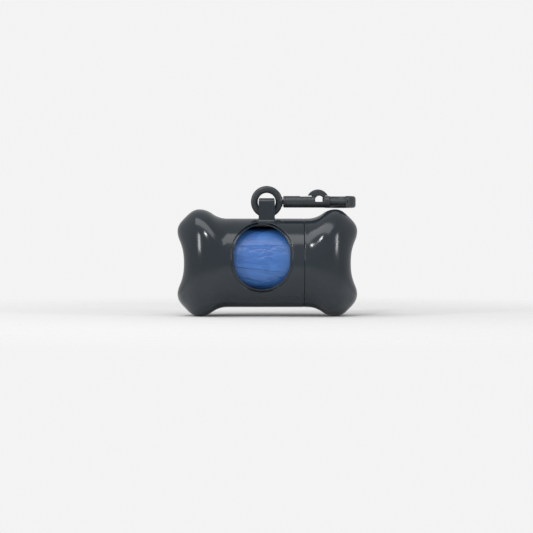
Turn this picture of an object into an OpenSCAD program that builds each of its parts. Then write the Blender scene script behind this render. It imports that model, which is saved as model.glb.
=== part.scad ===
// Bone-shaped dispenser for a roll of waste bags, with a spring-bolt clip at its top loop.
// X runs along the bone, -Y is the front with the dispensing hole, +Z is up.
// The case stands on the flats of its two lower lobes, at Z = 0.

/* [Case] */
// Length over the lobes
case_len = 82.8; // [78:0.2:100]
// Height over the lobes, before the foot flats are cut
case_h = 49.4; // [47:0.2:60]
// Diameter of the round middle
waist_d = 40.8; // [38:0.2:46]
// Radius of a lobe, seen from the front
lobe_r = 10; // [8:0.2:12]
// How much flatter than a circle the outer corner of a lobe is
lobe_flat = 1; // [0:0.1:1.5]
// Depth of the hollow between the two lobes of an end
notch_depth = 3.2; // [2:0.1:5]
// Radius of the blend from a lobe into the middle
lobe_blend_r = 12; // [8:0.5:16]
// Rounding of the end, seen from above
end_corner_r = 13.5; // [10:0.5:16]
// How much squarer than an ellipse the ends are in section
end_squareness = 0.4; // [0:0.05:1]
// Height cut off the lower lobes to make the foot flats
foot_cut = 0.3; // [0.1:0.05:1]
// Thickness of the end walls at the bottom of the hollows
end_wall = 2.3; // [1.6:0.1:4]
// Rounding of the cavity's two ends
cavity_end_r = 5; // [2:0.5:8]

/* [Seam and neck] */
// Distance of the seam from the middle of the case
seam_x = 16.8; // [12:0.2:18]
// Bevel on both sides of the seam
seam_bevel = 0.35; // [0.1:0.05:0.8]
// Length of the neck that the cap goes over
neck_len = 8; // [5:0.5:10]
// Wall of the neck
neck_wall = 1.6; // [1.2:0.1:2.2]
// Chamfer round the end of the neck
neck_lead = 0.5; // [0.2:0.1:1]
// Wall of the cap over the neck
cap_wall = 1.8; // [1.4:0.1:2.4]
// Gap between the neck and the cap, all round
neck_gap = 0.2; // [0.1:0.05:0.4]

/* [Dispensing hole] */
// Width of the hole
hole_w = 25.2; // [20:0.2:28]
// Height of the hole
hole_h = 29.2; // [26:0.2:32]
// Place of the hole along the case, from its middle
hole_x = -2.4; // [-6:0.2:0]
// Height of the hole's centre above the case's axis
hole_up = 2.7; // [0:0.1:3]
// Width of the sunk rim round the hole
rim_w = 1.3; // [0.6:0.1:2]
// Depth of the sunk rim
rim_depth = 0.8; // [0.4:0.1:1.2]

/* [Roll and spindle] */
// Length of the roll of bags
roll_len = 60; // [50:1:61]
// Gap between the roll and the cavity
roll_gap = 0.8; // [0.6:0.1:3]
// Gap between the roll and the spindle's flange
roll_end_gap = 0.4; // [0.3:0.1:1]
// Wall of the core tube
core_wall = 1.2; // [0.8:0.1:2]
// Thickness of the loose bag end
tail_t = 0.25; // [0.2:0.05:0.4]
// Angle of the loose end's edge above the front
tail_edge = 31; // [0:1:45]
// Angle that the loose end wraps round the roll
tail_wrap = 90; // [60:1:100]
// Diameter over the spindle's ribs
spindle_d = 11.2; // [9:0.2:14]
// Thickness of the spindle's ribs
rib_t = 1.8; // [1.4:0.1:2.6]
// Gap between the spindle's ribs and the core
spindle_gap = 0.3; // [0.2:0.05:0.6]
// Diameter of the spindle's flange
flange_d = 18; // [16:0.5:24]
// Thickness of the flange
flange_t = 1.4; // [1:0.1:2]
// Diameter of the journal that turns in the cap
journal_d = 5; // [4:0.2:6]
// Length of the boss that holds the journal
boss_len = 4.4; // [3:0.2:6]
// Wall of the boss
boss_wall = 2; // [1.4:0.1:3]
// Running clearance of journal and swivel, on the radius
running_gap = 0.08; // [0.04:0.01:0.1]

/* [Loop] */
// Place of the loop along the case, from its middle
loop_x = -0.3; // [-6:0.1:4]
// Width of the loop from front to back
loop_w = 14.4; // [13:0.2:18]
// Thickness of each leg of the loop, from front to back
loop_leg_t = 3.2; // [2.4:0.2:4]
// Radius of the bar that the eye turns on
loop_bar_r = 3.7; // [3:0.1:4]
// Height of the flat on top of that bar, above its axis
loop_bar_flat = 1.6; // [1:0.1:3]
// Rounding of the loop's shoulders
loop_corner_r = 2.2; // [1:0.1:3]

/* [Clip] */
// Outer radius of the eye
eye_r = 7.3; // [6.5:0.1:9]
// Gap between the eye and the loop's bar
eye_gap = 0.4; // [0.3:0.05:0.6]
// Thickness of the eye
eye_t = 3.4; // [2.6:0.1:4.2]
// Rounding of the eye's edges
eye_edge_r = 1; // [0.5:0.1:1.4]
// Radius of the collar between the eye and the barrel, at its end
collar_r = 2.3; // [1.7:0.1:2.7]
// Length of that collar
collar_len = 1.6; // [1:0.1:2]
// Gap between the eye and the case
eye_lift = 0.4; // [0.3:0.05:1]
// Diameter of the barrel, and thickness of the hook
barrel_d = 5.4; // [5.2:0.1:6.4]
// Gap between the lobes and the clip that lies over them
clip_lift = 0.7; // [0.5:0.1:2]
// Inner radius of the hook
hook_in_r = 4.3; // [4.1:0.1:5]
// Width of the hook's arm
hook_arm_w = 3.4; // [3:0.1:4]
// Rounding of the hook's edges
hook_edge_r = 1.2; // [0.5:0.1:1.4]
// Distance of the hook's centre behind the barrel's axis
hook_back = 5.2; // [5:0.1:6]
// Wall of the barrel between the thumb ring's slot and the mouth
mouth_wall = 1.8; // [1:0.1:3]
// Distance of the barrel's mouth before the hook's centre
mouth_back = 4.5; // [4.3:0.1:4.8]
// Distance of the hook's nose beyond the hook's centre
nose_out = 2.9; // [2.6:0.1:3.2]
// Depth of the hollow in the nose that takes the bolt's end
nose_dip = 1; // [0.5:0.1:1.5]
// Gap between the bolt's end and the bottom of that hollow
nose_gap = 0.15; // [0.1:0.05:0.3]
// Gap between the cut of the hook's mouth and the barrel's side
mouth_ease = 0.5; // [0.3:0.1:1]
// Radius of the shank of the eye
shank_r = 1.1; // [0.9:0.1:1.3]
// How far the shank's head stands out round it
head_lip = 0.55; // [0.4:0.05:0.6]
// Length of the shank's head
head_len = 1; // [0.8:0.1:1.2]
// Wall of the bush round the shank
bush_wall = 0.75; // [0.6:0.05:0.9]
// Thickness of the bush's flange
bush_flange_t = 1.2; // [0.8:0.1:1.6]
// Length of the bush
bush_len = 2.5; // [2:0.1:2.8]
// Gap along the barrel at each step of the swivel
swivel_gap = 0.3; // [0.2:0.05:0.4]
// Wall between the swivel and the spring
chamber_wall = 0.8; // [0.6:0.1:1]

/* [Bolt] */
// Radius of the bolt and of its spring
bolt_r = 1.6; // [1.3:0.1:1.8]
// Rounding of the bolt's end
bolt_end_r = 0.5; // [0.2:0.1:1]
// Gap between the bolt and its bore
bolt_gap = 0.15; // [0.1:0.05:0.3]
// Travel of the bolt
bolt_travel = 5.2; // [3:0.1:5.3]
// Length of the bolt's tail behind the thumb ring's foot
bolt_tail = 0.6; // [0.5:0.1:1]
// Outer radius of the thumb ring
thumb_r = 5.2; // [4.6:0.1:5.6]
// Height of the thumb ring's centre above the barrel's axis
thumb_up = 0.5; // [0.3:0.1:1.6]
// Thickness of the thumb ring
thumb_t = 1.8; // [1.4:0.1:2.4]
// Radius of the hole in the thumb ring
thumb_hole_r = 1.9; // [1.5:0.1:2]
// Distance of that hole from the ring's centre, towards the hook
thumb_hole_x = 0.7; // [0:0.1:0.8]
// Height of that hole above the barrel's axis
thumb_hole_up = 0.9; // [0.6:0.1:2]
// Length of the foot that joins the thumb ring to the bolt
foot_len = 6.2; // [5.8:0.1:6.6]
// Thickness of the foot under the hole
foot_sole = 0.6; // [0.5:0.1:1]
// Depth of the bolt's flat under the foot, below the barrel's axis
bolt_flat = 0.6; // [0:0.1:0.8]
// Gap between the thumb ring and the top of the barrel
thumb_gap = 0.15; // [0.1:0.05:0.4]
// Gap between the foot and its slot, all round
slot_gap = 0.25; // [0.15:0.05:0.4]
// Length of the window in the barrel's sides behind the thumb ring's hole
window_len = 4.4; // [3:0.1:4.6]
// Length of the bolt's spring while the bolt is shut
spring_len = 7.65; // [7.6:0.05:12]
// Wire of that spring
spring_wire = 0.45; // [0.35:0.05:0.45]
// Turns of that spring
spring_turns = 5; // [4:0.5:5]

/* [Hidden] */

// Facets round an exact circle
$fn = 96;
// Meridians round the skin, and steps along each stretch of a meridian
SKIN_SIDES = 48;
NOTCH_STEPS = 5;
LOBE_STEPS = 15;
BLEND_STEPS = 5;
// Sides of the spring's wire, and steps along one turn of it
WIRE_SIDES = 8;
TURN_STEPS = 16;
// Overlap that joins solids of one moulding
JOIN = 0.2;
// How deep the loop's feet reach into the wall of the case
LOOP_ROOT = 1;
// Least straight stretch between the rounding of the end and the blend
CORNER_EASE = 0.5;
// More than any size of the part, for cutting
FAR = 200;

axis_z = case_h / 2 - foot_cut;
half_len = case_len / 2;
waist_r = waist_d / 2;
lobe_x = half_len - lobe_r;
lobe_z = case_h / 2 - lobe_r;
pole_x = half_len - notch_depth;

// The hollow between the lobes is an arc that touches both of them
notch_x = (lobe_x ^ 2 + lobe_z ^ 2 - (pole_x - lobe_r) ^ 2) / (2 * (lobe_x - pole_x + lobe_r));
notch_r = notch_x - pole_x;
notch_turn = atan2(lobe_z, lobe_x - notch_x);

// The blend is an arc that touches a lobe and the straight middle
blend_z = waist_r + lobe_blend_r;
blend_x = lobe_x - sqrt((lobe_blend_r + lobe_r) ^ 2 - (blend_z - lobe_z) ^ 2);
blend_turn = atan2(blend_z - lobe_z, blend_x - lobe_x);
// The rounding of the end stops short of the blend
corner_r = min(end_corner_r, pole_x - blend_x - CORNER_EASE);

neck_r = waist_r - cap_wall - neck_gap;
cavity_r = neck_r - neck_wall;
cavity_x = pole_x - end_wall;
neck_end_x = seam_x + neck_len;

spindle_r = spindle_d / 2;
core_in_r = spindle_r + spindle_gap;
core_r = core_in_r + core_wall;
roll_r = cavity_r - roll_gap;
journal_r = journal_d / 2;
socket_r = journal_r + running_gap;
flange_x = cavity_x - boss_len - spindle_gap;
roll_end_x = flange_x - flange_t - roll_end_gap;
roll_start_x = roll_end_x - roll_len;

pivot_up = max(waist_r + eye_lift + eye_r, case_h / 2 + clip_lift + barrel_d / 2);
pivot = [loop_x, 0, axis_z + pivot_up];
eye_bore_r = loop_bar_r + eye_gap;
barrel_r = barrel_d / 2;
barrel_x = eye_r + swivel_gap;
bush_end_x = barrel_x + bush_len;
head_end_x = bush_end_x + swivel_gap + head_len;
chamber_x = head_end_x + swivel_gap;
spring_x = chamber_x + chamber_wall;
bolt_bore_r = bolt_r + bolt_gap;
bolt_tail_x = spring_x + spring_len;
foot_x = bolt_tail_x + bolt_tail;
foot_end_x = foot_x + foot_len;
thumb_x = (foot_x + foot_end_x - thumb_hole_x) / 2;
hole_mid_x = thumb_x + thumb_hole_x;
sole_z = foot_sole - bolt_flat;
mouth_x = foot_end_x + slot_gap + mouth_wall;
hook_x = mouth_x + mouth_back;
nose_x = hook_x + nose_out;

function arc(centre, r, from, to, steps) = [
  for (i = [0:steps])
    let (a = from + (to - from) * i / steps)
    [centre[0] + r * cos(a), centre[1] + r * sin(a)]
];
// Share of the flattening at an angle round a lobe, most at its outer corner
function corner_share(angle) = angle > 0 && angle < 90 ? sin(2 * angle) ^ 2 : 0;
function lobe_arc(from, to, steps) = [
  for (i = [0:steps])
    let (a = from + (to - from) * i / steps, r = lobe_r - lobe_flat * corner_share(a))
    [lobe_x + r * cos(a), lobe_z + r * sin(a)]
];
function line(a, b, steps) = [for (i = [0:steps]) a + (b - a) * i / steps];
function but_first(list) = [for (i = [1:len(list) - 1]) list[i]];
function power(value, exponent) = sign(value) * pow(abs(value), exponent);

// Meridian over the lobes, from the pole to the middle, as distance along X and height
lobed_meridian = concat(
  arc([notch_x, 0], notch_r, 180, notch_turn, NOTCH_STEPS),
  but_first(lobe_arc(notch_turn - 180, blend_turn, LOBE_STEPS)),
  but_first(arc([blend_x, blend_z], lobe_blend_r, blend_turn - 180, -90, BLEND_STEPS))
);
// Meridian over the front, point for point with the one over the lobes
plain_meridian = concat(
  line([pole_x, 0], [pole_x, waist_r - corner_r], NOTCH_STEPS),
  but_first(arc([pole_x - corner_r, waist_r - corner_r], corner_r, 0, 90, LOBE_STEPS)),
  but_first(line([pole_x - corner_r, waist_r], [blend_x, waist_r], BLEND_STEPS))
);
// Squareness of each station's section, which fades to a circle at the middle
squareness = [
  for (i = [0:len(lobed_meridian) - 1])
    let (t = max(0, i - NOTCH_STEPS - LOBE_STEPS) / BLEND_STEPS)
    end_squareness * (1 + cos(180 * t)) / 2
];

// One point of the skin's end, at a station and an angle from the top towards the back
function skin_point(station, angle) =
  let (
    exponent = 2 / (2 + squareness[station]),
    up = power(cos(angle), exponent),
    back = power(sin(angle), exponent),
    lobed = lobed_meridian[station],
    plain = plain_meridian[station]
  )
  [plain[0] + (lobed[0] - plain[0]) * cos(angle) ^ 2, plain[1] * back, lobed[1] * up];
function round_point(x, r, angle) = [x, r * sin(angle), r * cos(angle)];

// Skin from the pole to a seam at end_x, closed by a flat face there
module bone_end(end_x) {
  stations = len(lobed_meridian);
  rings = [
    for (i = [1:stations - 1]) [for (j = [0:SKIN_SIDES - 1]) skin_point(i, 360 * j / SKIN_SIDES)],
    [for (j = [0:SKIN_SIDES - 1]) round_point(end_x + seam_bevel, waist_r, 360 * j / SKIN_SIDES)],
    [for (j = [0:SKIN_SIDES - 1]) round_point(end_x, waist_r - seam_bevel, 360 * j / SKIN_SIDES)]
  ];
  points = concat([[pole_x, 0, 0]], [for (ring = rings, p = ring) p]);
  last = len(rings) - 1;
  faces = concat(
    [for (j = [0:SKIN_SIDES - 1]) [0, ring_index(0, j), ring_index(0, j + 1)]],
    [
      for (i = [0:last - 1], j = [0:SKIN_SIDES - 1], half = [0, 1])
        half == 0
          ? [ring_index(i, j), ring_index(i + 1, j), ring_index(i + 1, j + 1)]
          : [ring_index(i, j), ring_index(i + 1, j + 1), ring_index(i, j + 1)]
    ],
    [[for (j = [0:SKIN_SIDES - 1]) ring_index(last, SKIN_SIDES - 1 - j)]]
  );
  polyhedron(points, faces, convexity = 6);
}
function ring_index(ring, side) = 1 + ring * SKIN_SIDES + side % SKIN_SIDES;

// Straight round solid along X, from one X to another
module rod(from, to, r) {
  translate([from, 0, 0]) rotate([0, 90, 0]) cylinder(h = to - from, r = r);
}
module tube(from, to, r, bore) {
  difference() {
    rod(from, to, r);
    rod(from - JOIN, to + JOIN, bore);
  }
}
// Cutter that keeps what lies above the foot flats
module above_floor() {
  translate([-FAR / 2, -FAR / 2, -axis_z]) cube(FAR);
}
// Last stretch of a rod along X that ends at end_x in a rounded edge
module round_end(end_x, r, edge_r) {
  translate([end_x - edge_r, 0, 0]) rotate([0, 90, 0]) rotate_extrude() {
    square([r - edge_r, edge_r]);
    intersection() {
      square([r, edge_r]);
      translate([r - edge_r, 0]) circle(edge_r);
    }
  }
}
// Outline of the dispensing hole, grown by a margin
module hole_outline(margin) {
  r = hole_w / 2 + margin;
  straight = hole_h - hole_w;
  for (side = [-1, 1]) translate([0, side * straight / 2]) circle(r);
  square([2 * r, straight], center = true);
}
module through_front(margin) {
  translate([hole_x, 0, hole_up]) rotate([90, 0, 0]) linear_extrude(FAR / 2) hole_outline(margin);
}
// Rounded oblong made of circles, so that its corners stay true arcs
module soft_square(w, h, r) {
  square([w - 2 * r, h], center = true);
  square([w, h - 2 * r], center = true);
  for (x = [-1, 1], y = [-1, 1]) translate([x * (w / 2 - r), y * (h / 2 - r)]) circle(r);
}

// Loop that the clip's eye turns on, drawn about the eye's axis
module loop() {
  root = sqrt(waist_r ^ 2 - (loop_w / 2) ^ 2) - pivot_up - LOOP_ROOT;
  opening = loop_w - 2 * loop_leg_t;
  difference() {
    intersection() {
      rotate([90, 0, 90]) linear_extrude(2 * loop_bar_r, center = true)
        translate([0, (root + loop_bar_flat) / 2]) soft_square(loop_w, loop_bar_flat - root, loop_corner_r);
      rotate([90, 0, 0]) linear_extrude(loop_w + 1, center = true) {
        circle(loop_bar_r);
        translate([-loop_bar_r, root]) square([2 * loop_bar_r, -root]);
      }
    }
    difference() {
      translate([-FAR / 2, -opening / 2, -FAR]) cube([FAR, opening, FAR]);
      rotate([90, 0, 0]) cylinder(h = loop_w, r = loop_bar_r, center = true);
    }
  }
}

// Long moulding: left lobes, middle, dispensing hole, loop and neck
module body_shell() {
  color([0.10, 0.11, 0.12]) difference() {
    translate([0, 0, axis_z]) union() {
      intersection() {
        mirror([1, 0, 0]) bone_end(-seam_x);
        above_floor();
      }
      rod(seam_x - JOIN, neck_end_x - neck_lead, neck_r);
      translate([neck_end_x - neck_lead, 0, 0]) rotate([0, 90, 0])
        cylinder(h = neck_lead, r1 = neck_r, r2 = neck_r - neck_lead);
    }
    translate([0, 0, axis_z]) {
      rod(cavity_end_r - cavity_x, neck_end_x + JOIN, cavity_r);
      mirror([1, 0, 0]) round_end(cavity_x, cavity_r, cavity_end_r);
      through_front(0);
      difference() {
        through_front(rim_w);
        rod(-FAR, FAR, waist_r - rim_depth);
      }
    }
  }
  color([0.10, 0.11, 0.12]) intersection() {
    translate(pivot) loop();
    difference() {
      translate([-FAR / 2, -FAR / 2, axis_z]) cube(FAR);
      translate([0, 0, axis_z]) rod(-FAR, FAR, waist_r - LOOP_ROOT);
    }
  }
}

// Right end of the bone, with the boss that holds the spindle
module cap_shell() {
  color([0.10, 0.11, 0.12]) translate([0, 0, axis_z]) {
    difference() {
      intersection() {
        bone_end(seam_x);
        above_floor();
      }
      rod(seam_x - JOIN, neck_end_x + neck_gap, neck_r + neck_gap);
      rod(neck_end_x, cavity_x - cavity_end_r, cavity_r);
      round_end(cavity_x, cavity_r, cavity_end_r);
    }
    tube(cavity_x - boss_len, cavity_x + JOIN, socket_r + boss_wall, socket_r);
  }
}

// Cross-ribbed spindle that carries the roll
module roll_spindle() {
  nose_start = roll_start_x + spindle_d / 2;
  color([0.78, 0.79, 0.80]) translate([0, 0, axis_z]) {
    rod(flange_x, cavity_x - spindle_gap, journal_r);
    rod(flange_x - flange_t, flange_x, flange_d / 2);
    intersection() {
      union() {
        rod(nose_start, flange_x - flange_t, spindle_r);
        translate([nose_start, 0, 0]) sphere(spindle_r);
      }
      for (turn = [0, 90]) rotate([turn, 0, 0]) cube([FAR, spindle_d, rib_t], center = true);
    }
  }
}

module roll_core() {
  color([0.82, 0.76, 0.64]) translate([0, 0, axis_z]) tube(roll_start_x, roll_end_x, core_r, core_in_r);
}

// Wound film of bags
module bag_roll() {
  color([0.20, 0.38, 0.72]) translate([0, 0, axis_z]) tube(roll_start_x, roll_end_x, roll_r, core_r);
}

// Loose end of the outermost bag, lying on the roll in the hole
module bag_tail() {
  color([0.22, 0.42, 0.78]) translate([roll_start_x, 0, axis_z]) rotate([0, 90, 0])
    rotate([0, 0, -90 - tail_edge]) rotate_extrude(angle = tail_wrap)
      translate([roll_r, 0]) square([tail_t, roll_len]);
}

// Ring of the clip with its swivelling shank
module clip_eye() {
  color([0.12, 0.13, 0.14]) translate(pivot) {
    rotate([90, 0, 0]) rotate_extrude()
      translate([(eye_r + eye_bore_r) / 2, 0]) soft_square(eye_r - eye_bore_r, eye_t, eye_edge_r);
    translate([eye_r - collar_len, 0, 0]) rotate([0, 90, 0])
      cylinder(h = collar_len, r1 = eye_t / 2, r2 = collar_r);
    rod(eye_r - collar_len, head_end_x, shank_r);
    rod(head_end_x - head_len, head_end_x, shank_r + head_lip);
  }
}

// Bush that keeps the eye's shank in the barrel
module hook_bush() {
  color([0.12, 0.13, 0.14]) translate(pivot) difference() {
    union() {
      rod(barrel_x, barrel_x + bush_flange_t, barrel_r);
      rod(barrel_x + bush_flange_t - JOIN, bush_end_x, shank_r + bush_wall);
    }
    rod(barrel_x - JOIN, bush_end_x + JOIN, shank_r + running_gap);
  }
}

// Barrel and hook
module clip_hook() {
  start = barrel_x + bush_flange_t;
  color([0.12, 0.13, 0.14]) translate(pivot) difference() {
    union() {
      rod(start, mouth_x, barrel_r);
      difference() {
        translate([hook_x, hook_back, 0]) rotate_extrude()
          translate([hook_in_r + hook_arm_w / 2, 0]) soft_square(hook_arm_w, barrel_d, hook_edge_r);
        translate([0, -FAR - barrel_r, -FAR / 2]) cube(FAR);
        translate([mouth_x, -FAR, -FAR / 2]) cube([nose_x - mouth_x, FAR + barrel_r + mouth_ease, FAR]);
      }
    }
    rod(start - JOIN, chamber_x, shank_r + bush_wall);
    rod(spring_x, nose_x + nose_dip, bolt_bore_r);
    slot();
    window();
  }
}
// Slot in the top of the barrel that the thumb ring's foot runs in
module slot() {
  half_w = thumb_t / 2 + slot_gap;
  start = foot_x - bolt_travel - slot_gap;
  translate([start, -half_w, 0]) cube([foot_end_x + slot_gap - start, 2 * half_w, FAR]);
}
// Window through both sides of the barrel, behind the thumb ring's hole
module window() {
  half_w = barrel_r + JOIN;
  translate([hole_mid_x - window_len / 2, -half_w, sole_z]) cube([window_len, 2 * half_w, FAR]);
}

module clip_bolt() {
  end_x = nose_x + nose_dip - nose_gap;
  color([0.30, 0.31, 0.33]) translate(pivot) difference() {
    union() {
      rod(bolt_tail_x, end_x - bolt_end_r, bolt_r);
      round_end(end_x, bolt_r, bolt_end_r);
    }
    translate([foot_x, -FAR / 2, -bolt_flat]) cube([foot_len, FAR, FAR]);
  }
}

// Ring by which the bolt is drawn back, with its foot on the bolt's flat
module thumb_ring() {
  shoulder_z = barrel_r + thumb_gap;
  color([0.12, 0.13, 0.14]) translate(pivot) difference() {
    union() {
      difference() {
        translate([thumb_x, 0, thumb_up]) rotate([90, 0, 0])
          cylinder(h = thumb_t, r = thumb_r, center = true);
        translate([-FAR / 2, -FAR / 2, shoulder_z - FAR]) cube(FAR);
      }
      translate([foot_x, -thumb_t / 2, -bolt_flat])
        cube([foot_len, thumb_t, shoulder_z + JOIN + bolt_flat]);
    }
    difference() {
      translate([hole_mid_x, 0, thumb_hole_up]) rotate([90, 0, 0])
        cylinder(h = FAR, r = thumb_hole_r, center = true);
      translate([-FAR / 2, -FAR / 2, sole_z - FAR]) cube(FAR);
    }
  }
}

// Coil along X, swept as rings of points round its centre line
module coil(from, to, r, wire, turns) {
  steps = turns * TURN_STEPS;
  run = to - from - wire;
  lead = atan2(run / turns, 2 * PI * r);
  centres = [
    for (i = [0:steps])
      let (turn = 360 * i / TURN_STEPS)
      [from + wire / 2 + run * i / steps, r * cos(turn), r * sin(turn)]
  ];
  points = [
    for (i = [0:steps], j = [0:WIRE_SIDES - 1])
      let (
        turn = 360 * i / TURN_STEPS,
        side = 360 * j / WIRE_SIDES,
        out = [0, cos(turn), sin(turn)],
        across = [cos(lead), sin(lead) * sin(turn), -sin(lead) * cos(turn)]
      )
      centres[i] + wire / 2 * (cos(side) * out + sin(side) * across)
  ];
  sides = [
    for (i = [0:steps - 1], j = [0:WIRE_SIDES - 1], half = [0, 1])
      let (a = i * WIRE_SIDES + j, b = i * WIRE_SIDES + (j + 1) % WIRE_SIDES)
      half == 0 ? [a, b, b + WIRE_SIDES] : [a, b + WIRE_SIDES, a + WIRE_SIDES]
  ];
  start_cap = [for (j = [0:WIRE_SIDES - 1]) WIRE_SIDES - 1 - j];
  end_cap = [for (j = [0:WIRE_SIDES - 1]) steps * WIRE_SIDES + j];
  spans = [for (i = [0:steps], k = [i + TURN_STEPS / 2:steps]) norm(centres[k] - centres[i])];
  echo(least_gap = min(spans) - wire);
  polyhedron(points, concat(sides, [start_cap, end_cap]), convexity = 8);
}

module bolt_spring() {
  color([0.7, 0.7, 0.72]) translate(pivot)
    coil(spring_x, bolt_tail_x, bolt_r - spring_wire / 2, spring_wire, spring_turns);
}

body_shell();
cap_shell();
roll_spindle();
roll_core();
bag_roll();
bag_tail();
clip_eye();
hook_bush();
clip_hook();
clip_bolt();
thumb_ring();
bolt_spring();
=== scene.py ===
"""Looks of a bone-shaped bag dispenser and its swivel clip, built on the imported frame.

Every size below is in millimetres, in the frame of the part, and is turned to metres where a mesh is made.
"""
import logging
import math
from dataclasses import dataclass
from enum import Enum
from typing import Callable, Optional, Sequence

import bmesh
import bpy
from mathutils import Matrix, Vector, noise


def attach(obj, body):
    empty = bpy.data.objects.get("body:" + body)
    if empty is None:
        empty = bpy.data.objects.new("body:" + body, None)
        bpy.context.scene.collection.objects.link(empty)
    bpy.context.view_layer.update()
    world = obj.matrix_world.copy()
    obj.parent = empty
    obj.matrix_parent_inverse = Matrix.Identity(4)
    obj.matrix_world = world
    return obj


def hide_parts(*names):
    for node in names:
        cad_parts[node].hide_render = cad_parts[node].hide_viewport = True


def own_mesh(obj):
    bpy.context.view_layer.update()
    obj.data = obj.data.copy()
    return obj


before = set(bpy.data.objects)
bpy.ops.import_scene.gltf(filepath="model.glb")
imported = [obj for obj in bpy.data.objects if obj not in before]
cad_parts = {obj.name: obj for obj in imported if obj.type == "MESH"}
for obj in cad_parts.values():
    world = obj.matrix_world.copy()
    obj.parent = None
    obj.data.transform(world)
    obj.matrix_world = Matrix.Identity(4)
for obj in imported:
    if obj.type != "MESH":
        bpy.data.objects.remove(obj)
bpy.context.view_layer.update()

MM = 0.001
LOG = logging.getLogger("dispenser")

AXIS_Z = 24.4
TIP_R = 0.3
WIDE_TIP_R = 0.4

Piece = bpy.types.Object
Ring = list[Vector]
Pair = tuple[float, float]
Colour = tuple[float, float, float]


class Slot(Enum):
    """Material slots of the record."""

    CASE = "case"
    CLIP = "clip"
    BOLT = "bolt"
    SPRING = "spring"
    SPINDLE = "spindle"
    CORE = "core"
    FILM = "bag_film"


class Body(Enum):
    """Bodies of the frame that pieces ride on."""

    CASE = "case"
    CAP = "cap"
    SPINDLE = "spindle"
    ROLL = "roll"
    EYE = "eye"
    HOOK = "hook"
    BOLT = "bolt"


def mm(x: float, y: float, z: float) -> Vector:
    """Returns a point given in millimetres as one in metres."""
    return Vector((x, y, z)) * MM


def blend(low: float, high: float, value: float) -> float:
    """Returns how far value lies from low to high, eased at both ends.

    Args:
        low: Value at which the result is 0.
        high: Value at which the result is 1.
        value: Value to place between them.

    Returns:
        A number from 0 to 1.
    """
    share = min(max((value - low) / (high - low), 0.0), 1.0)
    return share * share * (3 - 2 * share)


def rounded_path(corners: Sequence[tuple[float, float, float]], steps: int = 5) -> list[Pair]:
    """Rounds the corners of an open outline.

    Args:
        corners: Points of the outline as two coordinates and the radius of that corner.
        steps: Stretches along each rounded corner.

    Returns:
        The points of the rounded outline.
    """
    path = [corners[0][:2]]
    for before, here, after in zip(corners, corners[1:], corners[2:]):
        corner = Vector(here[:2])
        back = (Vector(before[:2]) - corner).normalized()
        ahead = (Vector(after[:2]) - corner).normalized()
        radius = here[2]
        if radius == 0:
            path.append(tuple(corner))
            continue
        half = back.angle(ahead) / 2
        reach = radius / math.tan(half)
        centre = corner + (back + ahead).normalized() * radius / math.sin(half)
        start = corner + back * reach - centre
        end = corner + ahead * reach - centre
        turn = start.angle_signed(end)
        for i in range(steps + 1):
            angle = -turn * i / steps
            spoke = Vector((
                start.x * math.cos(angle) - start.y * math.sin(angle),
                start.x * math.sin(angle) + start.y * math.cos(angle),
            ))
            path.append(tuple(centre + spoke))
    path.append(corners[-1][:2])
    return path


def fine_path(path: Sequence[Pair], step: float) -> list[Pair]:
    """Adds points to an outline so that none of its stretches is longer than a step.

    Args:
        path: Points of the outline.
        step: Longest stretch that is left.

    Returns:
        The outline with the added points.
    """
    fine = [path[0]]
    for start, end in zip(path, path[1:]):
        fine += line(start, end, max(1, math.ceil(math.dist(start, end) / step)))[1:]
    return fine


def spread(start: float, end: float, steps: int) -> list[float]:
    """Returns evenly spaced numbers from start to end, both included."""
    return [start + (end - start) * i / steps for i in range(steps + 1)]


def line(start: Pair, end: Pair, steps: int) -> list[Pair]:
    """Returns points along a straight line."""
    return list(zip(spread(start[0], end[0], steps), spread(start[1], end[1], steps)))


def arc(centre: Pair, r: float, start: float, end: float, steps: int) -> list[Pair]:
    """Returns points along an arc, from one angle to another."""
    turns = spread(start, end, steps)
    return [(centre[0] + r * math.cos(turn), centre[1] + r * math.sin(turn)) for turn in turns]


def whole_turn(sides: int) -> list[float]:
    """Returns the angles of a whole turn in even steps."""
    return spread(0.0, 2 * math.pi, sides)[:-1]


def rounded_box(low: Pair, high: Pair, radius: float, steps: int) -> list[Pair]:
    """Returns the outline of a box with rounded corners, from the middle of its lower side."""
    middle = ((low[0] + high[0]) / 2, low[1], 0)
    corners = [(high[0], low[1]), high, (low[0], high[1]), low]
    return rounded_path([middle, *((*corner, radius) for corner in corners), middle], steps)[:-1]


def rod_path(start: float, end: float, radius: float) -> list[Pair]:
    """Returns the path of a plain round rod, as places and radii."""
    return [(start, TIP_R), (start, radius), (end, radius), (end, TIP_R)]


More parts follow.
